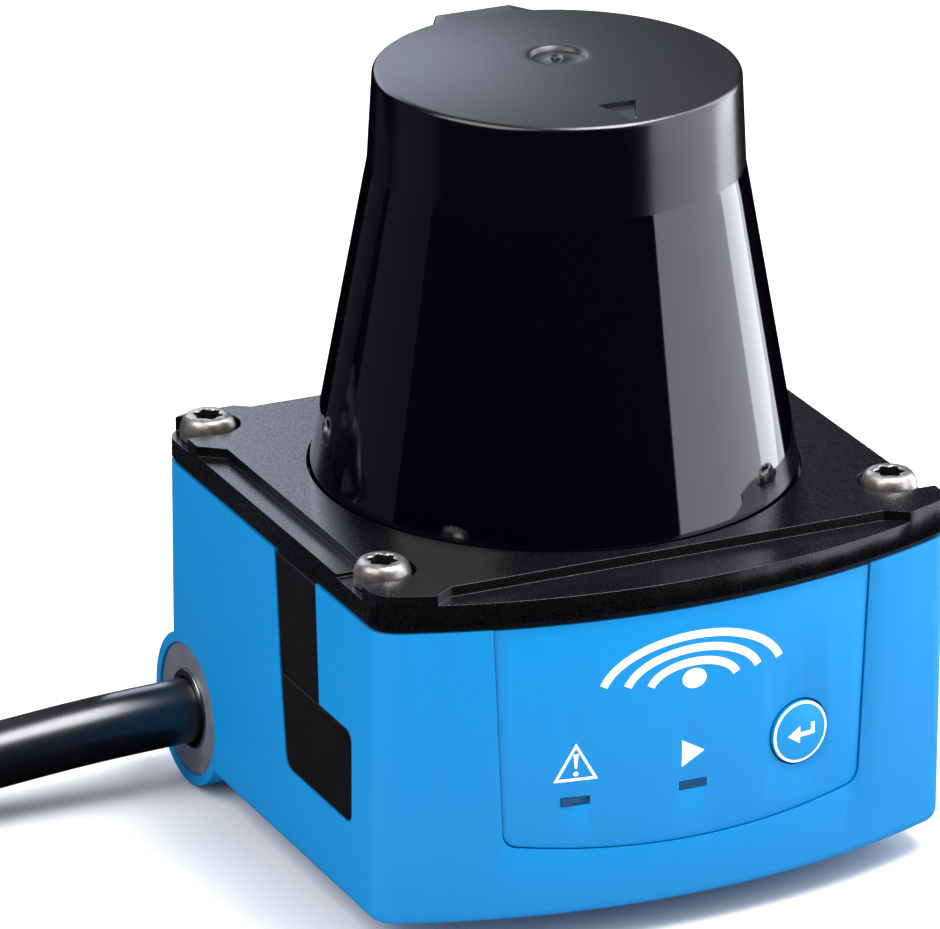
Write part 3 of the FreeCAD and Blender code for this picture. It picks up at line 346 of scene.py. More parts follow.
@dataclass(frozen=True)
class GrainedPlastic(Finish):
    """Glass-filled nylon from a spark-eroded mould: its fine pits glint at a low angle, and these
    glints are painted into its colour.
    """

    # The lighter colour on the grain's peaks is painted glints.
    painted_glint_colour: str = "#3A3D44"
    painted_glint_share: float = 0.8

    def shade(self, tree: bpy.types.NodeTree, shader: bpy.types.Node) -> None:
        """Add a lighter tone on the peaks of the grain: painted glints of the light on the grain.

        Args:
            tree: The material's node tree.
            shader: The shader.
        """
        super().shade(tree, shader)
        peaks = add_node(tree, "ShaderNodeTexNoise", {
            "Vector": self.places(tree), "Scale": 1.6 / self.grain_mm, "Detail": 1.0})
        share = add_node(tree, "ShaderNodeMapRange", {
            VALUE: peaks.outputs["Fac"], FROM_LOW: 0.58, FROM_HIGH: 0.78, TO_LOW: 0.0,
            TO_HIGH: self.painted_glint_share})
        base = shader.inputs["Base Color"].links[0].from_socket
        lit = add_node(tree, "ShaderNodeMix", {
            MIX_SHARE: share.outputs[0], MIX_COLOUR_A: base,
            MIX_COLOUR_B: linear(self.painted_glint_colour)}, data_type="RGBA")
        tree.links.new(lit.outputs[MIXED_COLOUR], shader.inputs["Base Color"])


@dataclass(frozen=True)
class FilterHood(Finish):
    """Polished polycarbonate that passes infrared, etched matt on its cap.

    The cone is as smooth as glass. Above the shoulder the mould was etched, so the cap spreads a
    reflection, and its flat top shows a fine grain.
    """

    cone_roughness: float = 0.05
    shoulder_mm: float = 67.0
    top_mm: float = 75.9
    # The top's lighter, bluer black is partly painted sheen, over its etched grain.
    top_colour: str = "#0C0D11"
    top_roughness: float = 0.38

    def above(self, tree: bpy.types.NodeTree, low: float, high: float) -> bpy.types.NodeSocket:
        """A share that rises from 0 to 1 between two heights.

        Args:
            tree: The material's node tree.
            low: The lower height in millimetres.
            high: The upper one.

        Returns:
            The socket of the share.
        """
        height = add_node(tree, "ShaderNodeSeparateXYZ", {0: self.places(tree)}).outputs["Z"]
        return add_node(tree, "ShaderNodeMapRange", {
            VALUE: height, FROM_LOW: low, FROM_HIGH: high}).outputs[0]

    def shade(self, tree: bpy.types.NodeTree, shader: bpy.types.Node) -> None:
        """Switch from polished to etched at the shoulder's height, and to the top's grain above.

        Args:
            tree: The material's node tree.
            shader: The shader.
        """
        relief = self.relief(tree)
        etched = self.above(tree, self.shoulder_mm - 0.05, self.shoulder_mm + 0.05)
        top = self.above(tree, self.top_mm, self.top_mm + 0.2)
        colour = add_node(tree, "ShaderNodeMix", {
            MIX_SHARE: top, MIX_COLOUR_A: linear(self.colour),
            MIX_COLOUR_B: linear(self.top_colour)}, data_type="RGBA")
        tree.links.new(colour.outputs[MIXED_COLOUR], shader.inputs["Base Color"])
        side = add_node(tree, "ShaderNodeMapRange", {
            VALUE: etched, TO_LOW: self.cone_roughness, TO_HIGH: self.roughness})
        level = add_node(tree, "ShaderNodeMix", {
            MIX_SHARE: top, MIX_VALUE_A: side.outputs[0], MIX_VALUE_B: self.top_roughness})
        stray = add_node(tree, "ShaderNodeMapRange", {
            VALUE: relief, FROM_LOW: NOISE_LOW, FROM_HIGH: NOISE_HIGH, TO_LOW: -self.swing,
            TO_HIGH: self.swing})
        rough = add_node(tree, "ShaderNodeMath", {
            0: stray.outputs[0], 1: etched, 2: level.outputs[MIXED_VALUE]},
            operation="MULTIPLY_ADD")
        tree.links.new(rough.outputs[0], shader.inputs["Roughness"])
        depth = add_node(tree, "ShaderNodeMath", {0: relief, 1: etched}, operation="MULTIPLY")
        bump = add_node(tree, "ShaderNodeBump", {
            "Height": depth.outputs[0], "Strength": 1.0, "Distance": self.relief_mm * MM})
        tree.links.new(bump.outputs["Normal"], shader.inputs["Normal"])


@dataclass(frozen=True)
class SolderMask(Finish):
    """Green lacquer over a board's copper tracks, which stand out as lighter lines."""

    gap_colour: str = "#0F3A22"
    track_colour: str = "#3E7A4B"
    track_mm: float = 0.08
    cell_mm: tuple[float, float] = (1.6, 0.8)

    def shade(self, tree: bpy.types.NodeTree, shader: bpy.types.Node) -> None:
        """Draw tracks as the thin joints of a brick pattern.

        Args:
            tree: The material's node tree.
            shader: The shader.
        """
        super().shade(tree, shader)
        tracks = add_node(tree, "ShaderNodeTexBrick", {
            "Vector": self.places(tree), "Color1": linear(self.colour),
            "Color2": linear(self.gap_colour), "Mortar": linear(self.track_colour), "Scale": 1.0,
            "Mortar Size": self.track_mm, "Brick Width": self.cell_mm[0],
            "Row Height": self.cell_mm[1]})
        tree.links.new(tracks.outputs["Color"], shader.inputs["Base Color"])


# Die-cast aluminium with a sprayed polyester coat: satin, with a faint orange peel.
BLUE_COAT = Finish("powder_coated_aluminium", "#0075B2", 0.50, ior=1.3, patch_colour="#0071AD",
                   patch_mm=14.0, grain_mm=0.55, relief_mm=0.006)
# Glass-filled nylon: matt black with a spark-eroded grain about 0.2 mm wide, and painted glints on
# its grain.
BLACK_NYLON = GrainedPlastic("spark_eroded_black_nylon", "#040406", 0.27, patch_colour="#08080A",
                             grain_mm=0.22, relief_mm=0.013, swing=0.06, painted_glint_colour="#1D1F25")
# Infrared-passing polycarbonate: black with a violet cast, polished on the cone.
HOOD_PLASTIC = FilterHood("infrared_polycarbonate", "#040206", 0.20, ior=1.58, grain_mm=0.20,
                          relief_mm=0.003, swing=0.04)
# Stainless steel screws, cold-formed and tumbled: satin, with small dents and a warm grey cast.
STAINLESS = Finish("tumbled_stainless_steel", "#B4AFAB", 0.38, metallic=0.92,
                   patch_colour="#6E6764", patch_mm=0.8, patch_share=0.9, grain_mm=0.14,
                   relief_mm=0.010, swing=0.09)
# The pressed socket is painted a darker steel: painted shade for the shadow inside its recess.
SOCKET_PAINTED_SHADE = Finish("screw_socket_painted_shade", "#2A2726", 0.45, metallic=0.7, patch_colour="#151313",
                patch_mm=0.6, patch_share=0.7, grain_mm=0.12, relief_mm=0.01)
# EPDM rubber, moulded: near black, dull, with dust in its pores.
RUBBER = Finish("moulded_epdm_rubber", "#07060A", 0.62, ior=1.38, patch_colour="#100F14",
                patch_mm=3.0, patch_share=0.6, grain_mm=0.18, relief_mm=0.015)
# Polyester film printed on its back: an even blue behind a velvet surface.
PANEL_FILM = Finish("velvet_polyester_film", "#007AB9", 0.46, ior=1.3, patch_colour="#0076B4",
                    patch_mm=11.0, grain_mm=0.12, relief_mm=0.003)
# The embossed dome over the button, the same film as the panel and a little glossier.
BUTTON_SKIN = Finish("embossed_polyester_dome", "#007FC0", 0.38, ior=1.35, patch_colour="#0079B8",
                     patch_mm=4.0, grain_mm=0.12, relief_mm=0.003)
# Screen-printed white ink: flat white with the mesh's faint texture.
WHITE_INK = Finish("screen_printed_white_ink", "#EEF4F6", 0.48, patch_colour="#DCE9EE",
                   patch_mm=0.7, patch_share=0.4, grain_mm=0.09, relief_mm=0.003)
# Smoked acrylic light guide: dark blue-grey until its light is on.
SMOKED_ACRYLIC = Finish("smoked_acrylic", "#12395C", 0.18, ior=1.49, patch_colour="#2A5275",
                        patch_mm=0.4, patch_share=0.8, grain_mm=0.3, relief_mm=0.004)
LED_EPOXY = Finish("clear_led_epoxy", "#E4E2D2", 0.22, ior=1.53, transmission=0.4,
                   patch_colour="#F2E9A8", patch_mm=0.8, patch_share=0.7, grain_mm=0.4,
                   relief_mm=0.004)
# Polyurethane cable sheath, extruded: satin near-black, with a bright soft highlight along its top.
SHEATH = Finish("extruded_polyurethane", "#08080B", 0.32, coat=0.8, coat_roughness=0.28,
                patch_colour="#101014", patch_mm=5.0, patch_share=0.5, grain_mm=0.24,
                relief_mm=0.006, swing=0.06)
# Anodised dark ring: its turned finish is too fine to show, so it is an even grain of 0.2 mm.
# Its light grey base colour is partly painted reflection of the lights round it.
DARK_RING = Finish("dark_anodised_ring", "#7E818C", 0.42, metallic=0.45, patch_colour="#5E606A",
                   patch_mm=2.5, patch_share=0.6, grain_mm=0.2, relief_mm=0.004)
BRIGHT_SLEEVE = Finish("crimped_nickel_sleeve", "#C4C6C8", 0.24, metallic=1.0,
                       patch_colour="#9A9DA1", patch_mm=1.5, grain=Grain.DRAWN_X, grain_mm=0.12,
                       relief_mm=0.004)
BOARD = SolderMask("green_solder_mask", "#14522E", 0.32, coat=0.3, grain_mm=0.5, relief_mm=0.006)
EPOXY_CASE = Finish("moulded_epoxy_case", "#1B1B1D", 0.5, patch_colour="#262628", patch_mm=1.6,
                    grain_mm=0.15, relief_mm=0.01)
TINNED = Finish("tinned_sheet_steel", "#B9BBBD", 0.34, metallic=1.0, patch_colour="#8F9295",
                patch_mm=1.2, patch_share=0.5, grain=Grain.DRAWN_X, grain_mm=0.2, relief_mm=0.005)
GROUND_STEEL = Finish("ground_bearing_steel", "#C2C3C5", 0.2, metallic=1.0, patch_colour="#A4A6A9",
                      grain=Grain.TURNED, grain_mm=0.15, relief_mm=0.003)
LAMINATED = Finish("laminated_core_steel", "#77797C", 0.42, metallic=0.9, patch_colour="#5D5F63",
                   grain=Grain.WOUND, grain_mm=0.35, relief_mm=0.03)
PLATED_CUP = Finish("zinc_plated_cup", "#AEB0B2", 0.3, metallic=1.0, patch_colour="#8C8F94",
                    grain=Grain.TURNED, grain_mm=0.3, relief_mm=0.004)
COPPER = Finish("enamelled_copper_wire", "#B5622F", 0.28, metallic=0.9, coat=0.6,
                patch_colour="#8E4420", grain=Grain.WOUND, grain_mm=0.3, relief_mm=0.08)
MACHINED = Finish("machined_aluminium", "#B6B9BC", 0.34, metallic=1.0, patch_colour="#9A9DA1",
                  patch_mm=6.0, grain=Grain.DRAWN_Y, grain_mm=0.25, relief_mm=0.006)
MAGNET = Finish("sintered_ferrite", "#3B3B3F", 0.55, metallic=0.4, patch_colour="#2C2C30",
                patch_mm=1.0, grain_mm=0.12, relief_mm=0.02)
CODE_FILM = Finish("black_code_film", "#121214", 0.25, patch_colour="#1D1D21", grain_mm=0.3,
                   relief_mm=0.002)
GOLD_MIRROR = Finish("gold_coated_mirror", "#E3C27A", 0.04, metallic=1.0, patch_colour="#DDBB72",
                     grain_mm=1.2, relief_mm=0.0004, swing=0.01)
BARREL = Finish("flocked_black_barrel", "#0B0B0C", 0.8, patch_colour="#151516", grain_mm=0.15,
                relief_mm=0.03)
LENS = Finish("coated_optical_glass", "#F4F8FF", 0.03, ior=1.62, transmission=1.0,
              patch_colour="#DDEBFF", grain_mm=2.0, relief_mm=0.0003, swing=0.01)
POLYIMIDE = Finish("polyimide_ribbon", "#A8641B", 0.32, coat=0.4, patch_colour="#8D5115",
                   grain=Grain.DRAWN_Z, grain_mm=0.5, relief_mm=0.02)
WOVEN_TIE = Finish("woven_hook_tape", "#15151A", 0.85, patch_colour="#202027", patch_mm=2.0,
                   grain=Grain.WOVEN, grain_mm=0.7, relief_mm=0.12)
# Moulded plug grip: grained black plastic, with painted glints on its grain.
GRIP = GrainedPlastic("moulded_plug_grip", "#121216", 0.5, patch_colour="#1A1A1F", grain_mm=0.3,
                      relief_mm=0.02)
NICKEL = Finish("nickel_plated_brass", "#C9C5BC", 0.24, metallic=1.0, patch_colour="#A7A399",
                patch_mm=2.0, patch_share=0.5, grain_mm=0.3, relief_mm=0.004)
GOLD_PIN = Finish("gold_plated_pin", "#E0B64E", 0.2, metallic=1.0, patch_colour="#C99D3A",
                  grain=Grain.DRAWN_X, grain_mm=0.1, relief_mm=0.002)

NODE_FINISHES: dict[Finish, tuple[str, ...]] = {
    BLUE_COAT: ("lower_housing",),
    BLACK_NYLON: ("flange_plate",),
    HOOD_PLASTIC: ("optics_hood",),
    STAINLESS: ("flange_screws", "optics_carrier_screws", "main_board_screws"),
    RUBBER: ("housing_gasket", "hood_seal", "service_cover_strap", "service_cover_flap"),
    PANEL_FILM: ("front_panel_membrane",),
    BUTTON_SKIN: ("panel_button",),
    SMOKED_ACRYLIC: ("alert_light_guide", "ready_light_guide"),
    LED_EPOXY: ("status_leds",),
    DARK_RING: ("cable_gland_ring",),
    BRIGHT_SLEEVE: ("cable_sleeve",),
    BOARD: ("panel_board", "main_board", "receiver_board"),
    EPOXY_CASE: ("main_board_components", "button_switch", "encoder_sensor", "receiver_chip",
                 "ribbon_header", "cable_wire_header", "mirror_carrier", "plug_insert"),
    TINNED: ("service_port", "laser_diode"),
    GROUND_STEEL: ("drive_shaft", "lower_bearing", "upper_bearing", "bearing_spacer"),
    LAMINATED: ("motor_stator",),
    PLATED_CUP: ("rotor_cup",),
    COPPER: ("motor_coils", "cable_wires"),
    MACHINED: ("optics_carrier", "rear_column", "laser_tube"),
    MAGNET: ("rotor_magnet",),
    CODE_FILM: ("encoder_disc",),
    GOLD_MIRROR: ("scan_mirror",),
    BARREL: ("optics_head",),
    LENS: ("receiver_lens", "laser_lens"),
    POLYIMIDE: ("head_ribbon",),
    WOVEN_TIE: ("coil_ties",),
    GRIP: ("plug_boot", "plug_body"),
    NICKEL: ("plug_nut",),
    GOLD_PIN: ("plug_pins",),
}


# ---- carried-over pieces ----------------------------------------------------------------------
@dataclass(frozen=True)
class CarriedNodes:
    """The frame's own nodes: each gets its finish, and the cast or moulded ones get soft edges."""

    nodes: dict[str, bpy.types.Object]
    edge_mm: tuple[tuple[str, float], ...] = (
        ("lower_housing", 0.22), ("flange_plate", 0.16), ("front_panel_membrane", 0.06),
        ("service_cover_strap", 0.18), ("service_cover_flap", 0.18), ("cable_gland_ring", 0.15),
        ("cable_sleeve", 0.08), ("plug_body", 0.2), ("plug_nut", 0.12))
    flat_degrees: float = 0.6       # faces that turn by less become one
    sharp_degrees: float = 25.0     # edges that turn by more are rounded

    def dress(self) -> None:
        """Give each node the material of its finish."""
        for finish, names in NODE_FINISHES.items():
            for name in names:
                dress(self.nodes[name], finish.material())
        LOG.info("dressed %d nodes", sum(len(names) for names in NODE_FINISHES.values()))

    def soften(self) -> None:
        """Round the sharp edges: weld the triangles, merge the flat ones, and bevel the rest."""
        for name, width in self.edge_mm:
            node = self.nodes[name]
            weld = node.modifiers.new("weld", "WELD")
            weld.merge_threshold = 1e-6
            flat = node.modifiers.new("merge flat faces", "DECIMATE")
            flat.decimate_type = "DISSOLVE"
            flat.angle_limit = math.radians(self.flat_degrees)
            bevel = node.modifiers.new("soft edges", "BEVEL")
            bevel.width = width * MM
            bevel.segments = 2
            bevel.limit_method = "ANGLE"
            bevel.angle_limit = math.radians(self.sharp_degrees)
            bevel.harden_normals = True


# ---- hood ---------------------------------------------------------------------------------------
@dataclass
class Hood:
    """The optics hood: a polished cone under an etched cap with a rib at its back."""

    low: float                      # underside of the foot
    plate_top_mm: float = 36.4
    foot_radius_mm: float = 23.5
    inner_foot_mm: float = 21.5
    foot_upright_mm: float = 0.4
    shoulder_radius_mm: float = 18.0
    shoulder_z_mm: float = 67.0
    rim_radius_mm: float = 17.55
    rim_z_mm: float = 76.1
    crown_mm: float = 1.25
    wall_mm: float = 1.6
    roof_mm: float = 1.2
    rim_round_mm: float = 0.65
    rib_tip_mm: tuple[float, float] = (3.9, 19.05)
    rib_root_mm: tuple[float, float] = (5.4, 16.55)
    rib_edge: float = 0.002         # turn over which the rib's face gives way to its side
    dimple_mm: float = 2.7
    dimple_depth_mm: float = 0.5
    gate_mm: float = 0.6
    arrow_half_mm: float = 1.9
    arrow_back_mm: float = -12.8
    arrow_tip_mm: float = -16.9
    arrow_floor_mm: float = 0.05
    arrow_step_mm: float = 0.07     # rings lie this close over the arrow's length
    arrow_degrees: tuple[float, float] = (8.0, 0.25)    # and columns over this turn, this close
    points_round: int = 288

    def rib_radius(self, turn: np.ndarray) -> np.ndarray:
        """Distance from the axis to the rib's outline, in millimetres.

        A ray at the given turn from the back meets the rib's flat face where its reach along the
        back direction is the tip's, and meets the slanted side on the line from tip to root. The
        smaller of the two counts, and zero beyond the root.

        Args:
            turn: Angles from the back direction in radians.

        Returns:
            One distance for each angle.
        """
        side = np.abs(turn)
        near = np.minimum(side, 1.2)    # keeps the tangent finite, well past the root
        (x0, y0), (x1, y1) = self.rib_tip_mm, self.rib_root_mm
        cross = np.sin(side) * (y1 - y0) - np.cos(side) * (x1 - x0)
        cross = np.where(np.abs(cross) < 1e-9, 1e-9, cross)
        slanted = (x0 * (y1 - y0) - y0 * (x1 - x0)) / cross
        reach = np.where(np.tan(near) * y0 < x0, y0 / np.cos(near), slanted)
        return np.where(side < math.atan2(x1, y1) + 0.02, reach, 0.0)

    def turns(self) -> np.ndarray:
        """Angles round the axis from the back: even, and closer at the rib and the arrow.

        Returns:
            The angles in radians, in rising order.
        """
        even = np.linspace(-math.pi, math.pi, self.points_round, endpoint=False)
        corner, edge = math.atan2(*self.rib_tip_mm), self.rib_edge
        front = math.pi - np.radians(np.arange(0.0, *self.arrow_degrees))
        return np.unique(np.concatenate([
            even, [corner, -corner, corner + edge, -corner - edge], front, -front[1:]]))

    def side_profile(self) -> list[tuple[float, float, int]]:
        """The wall from the inner roof over the foot to the rim.

        Returns:
            Radius, height, and 1 where the rib widens the ring.
        """
        t, foot, low = self.wall_mm, self.foot_radius_mm, self.low / MM
        upright = self.plate_top_mm + self.foot_upright_mm
        shoulder, height = self.shoulder_radius_mm, self.shoulder_z_mm
        rim, f = self.rim_radius_mm, self.rim_round_mm
        roof = self.rim_z_mm - self.roof_mm
        rows = [(0.4, roof, 0), (rim - t, roof, 0), (shoulder - t, height, 0),
                (self.inner_foot_mm, upright, 0), (self.inner_foot_mm, low, 0),
                (foot - 0.1, low, 0), (foot, low + 0.1, 0), (foot, upright, 0),
                (foot - 0.03, upright + 0.12, 0)]
        rows += [(foot + (shoulder - foot) * s, upright + (height - upright) * s, 0)
                 for s in np.linspace(0.05, 1.0, 20)[:-1]]
        rows += [(shoulder + 0.01, height - 0.1, 0), (shoulder, height, 1),
                 (shoulder - 0.01, height + 0.15, 1)]
        rows += [(shoulder + (rim - shoulder) * s,
                  height + (self.rim_z_mm - f - height) * s, 1) for s in (0.3, 0.65, 1)]
        return rows + [(rim - f * (1 - math.cos(a)), self.rim_z_mm - f * (1 - math.sin(a)), 1)
                       for a in np.radians([15, 30, 45, 60, 75, 90])]

    def top_profile(self) -> list[tuple[float, float, int]]:
        """The crown, which falls with the square of the radius, and the dimple with its gate.

        Returns:
            Radius, height and 0, as the rib widens none of these rings.
        """
        inner = self.rim_radius_mm - self.rim_round_mm
        crown = self.rim_z_mm + self.crown_mm
        floor = crown - self.dimple_depth_mm
        d, g = self.dimple_mm, self.gate_mm
        close = np.arange(inner - 0.08, -self.arrow_back_mm - 0.4, -self.arrow_step_mm)
        rows = [(r, self.rim_z_mm + self.crown_mm * (1 - (r / inner) ** 2), 0)
                for r in np.concatenate([close, np.linspace(12.0, 3.6, 9)])]
        lip = [(d + 0.25, crown - 0.03), (d + 0.08, crown - 0.05), (d - 0.05, crown - 0.14),
               (d - 0.28, crown - self.dimple_depth_mm * 0.9), (d - 0.45, floor)]
        gate = [(g + 0.2, floor), (g + 0.04, floor + 0.05), (g - 0.04, crown - 0.2),
                (g - 0.12, crown - 0.12), (0.2, crown - 0.16), (0.08, crown - 0.2)]
        return rows + [(r, z, 0) for r, z in lip + gate]

    def points(self) -> np.ndarray:
        """Turn the profile round the axis, with the rib as a wider radius at the back.

        Each ring has one height and one radius, apart from those of the cap, whose radius is the
        larger of the cap's and the rib's; over the rim both fall inwards on a quarter circle.
        Inside the alignment arrow, a triangle that points to the front, the crown is cut down to
        a flat floor.

        Returns:
            The rings in metres, of shape (rings, points in a ring, 3).
        """
        turn, top, f = self.turns(), self.rim_z_mm, self.rim_round_mm
        rows = self.side_profile() + self.top_profile()
        radius, height, widened = (np.array(column)[:, None] for column in zip(*rows))
        quarter = np.sqrt(np.clip(1 - ((height - top + f) / f) ** 2, 0, 1))
        rib = self.rib_radius(turn)[None] - np.where(height > top - f, f * (1 - quarter), 0.0)
        wide = (widened == 1) & (self.rib_radius(turn)[None] > 0)
        reach = np.where(wide, np.maximum(radius, rib), radius)
        across, back = reach * np.sin(turn), reach * np.cos(turn)
        level = np.broadcast_to(height, reach.shape)
        length = self.arrow_back_mm - self.arrow_tip_mm
        side = self.arrow_half_mm * (back - self.arrow_tip_mm) / length
        inside = (np.abs(across) < side) & (back < self.arrow_back_mm) & (level > top + 0.001)
        level = np.where(inside, np.minimum(level, top + self.arrow_floor_mm), level)
        return np.stack([across, back, level], axis=-1) * MM

    def build(self) -> bpy.types.Object:
        """Make the hood as one closed piece in place of the frame's node.

        Returns:
            The piece.
        """
        piece = mesh_piece("optics_hood_shell", [closed_loft(self.points())], "housing", sharp=30)
        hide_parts("optics_hood")
        dress(piece, HOOD_PLASTIC.material())
        return piece


# ---- screws -----------------------------------------------------------------------------------
@dataclass
class FlangeScrews:
    """Four button-head screws with a six-lobed socket, as turned and pressed heads."""

    places_mm: tuple[tuple[float, float], ...] = (
        (-26.6, 22.2), (26.6, 22.2), (-26.6, -18.5), (26.6, -18.5))
    seat_mm: float = 35.0
    head_radius_mm: float = 2.75
    head_height_mm: float = 2.4
    flat_top: float = 0.66          # share of the head's radius that the dome leaves flat
    skirt: float = 0.30             # share of its height that stands upright
    shank_radius_mm: float = 1.5
    length_mm: float = 12.0
    socket_mm: float = 1.38
    lobe_mm: float = 0.17
    socket_depth_mm: float = 1.6
    points_round: int = 96

    def profile(self) -> list[tuple[float, float, float]]:
        """One screw's profile, from the shank's tip over the head to the socket's floor.

        Returns:
            Radius, height over the seat, and the share of the lobes in the radius.
        """
        h, r, s = self.head_height_mm, self.head_radius_mm, self.socket_mm
        shank, tip, floor = self.shank_radius_mm, -self.length_mm, h - self.socket_depth_mm
        rows = [(0.5, tip, 0), (shank - 0.2, tip, 0), (shank, tip + 0.3, 0), (shank, 0, 0),
                (r - 0.12, 0.0, 0), (r, 0.12, 0)]
        rows += [(r * (self.flat_top + (1 - self.flat_top) * math.cos(a)),
                  h * (self.skirt + (1 - self.skirt) * math.sin(a)), 0)
                 for a in np.radians(range(0, 90, 10))]
        return rows + [(s + 0.22, h, 0.3), (s + 0.09, h, 0.8), (s, h - 0.08, 1.0),
                       (s - 0.05, h - 0.22, 1.0), (s - 0.07, floor, 1.0),
                       (0.5, floor - 0.15, 0.0), (0.12, floor - 0.2, 0.0)]

    def one(self, x: float, y: float) -> Surface:
        """One screw as rings round its axis.

        The shank and the head are circles. The socket's radius is its mean plus a lobe height
        times the cosine of six times the turn, and it fades into the dome's circle.

        Args:
            x: The screw's place across, in millimetres.
            y: The screw's place from front to back, in millimetres.

        Returns:
            Vertices and faces.
        """
        turn = np.linspace(0, 2 * math.pi, self.points_round, endpoint=False)
        lobes = self.lobe_mm * (np.cos(6 * (turn + x)) - 0.5)
        radius, height, share = (np.array(column)[:, None] for column in zip(*self.profile()))
        radius = radius + share * lobes
        height = np.broadcast_to(height + self.seat_mm, radius.shape)
        rings = np.stack([x + radius * np.cos(turn), y + radius * np.sin(turn), height], axis=-1)
        return closed_loft(rings * MM)

    def sunk(self, piece: bpy.types.Object) -> np.ndarray:
        """Which faces are inside a socket, to carry the painted shade.

        Args:
            piece: The four screws.

        Returns:
            1 or 0 for each face.
        """
        middles = np.empty(len(piece.data.polygons) * 3)
        piece.data.polygons.foreach_get("center", middles)
        middles = middles.reshape(-1, 3) / MM
        away = middles[:, None, :2] - np.array(self.places_mm)[None]
        reach = np.linalg.norm(away, axis=2).min(axis=1)
        top = self.seat_mm + self.head_height_mm
        level = (middles[:, 2] < top - 0.15) & (middles[:, 2] > self.seat_mm)
        return ((reach < self.socket_mm + 0.2) & level).astype(np.int32)

    def build(self) -> bpy.types.Object:
        """Make all four screws as one piece in place of the frame's node.

        Returns:
            The piece, with painted shade in its sockets.
        """
        heads = [self.one(x, y) for x, y in self.places_mm]
        piece = mesh_piece("flange_screw_set", heads, "housing", sharp=32)
        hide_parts("flange_screws")
        dress(piece, STAINLESS.material())
        # The sockets get a darker steel: painted shade in the recess.
        piece.data.materials.append(SOCKET_PAINTED_SHADE.material())
        piece.data.polygons.foreach_set("material_index", self.sunk(piece))
        return piece


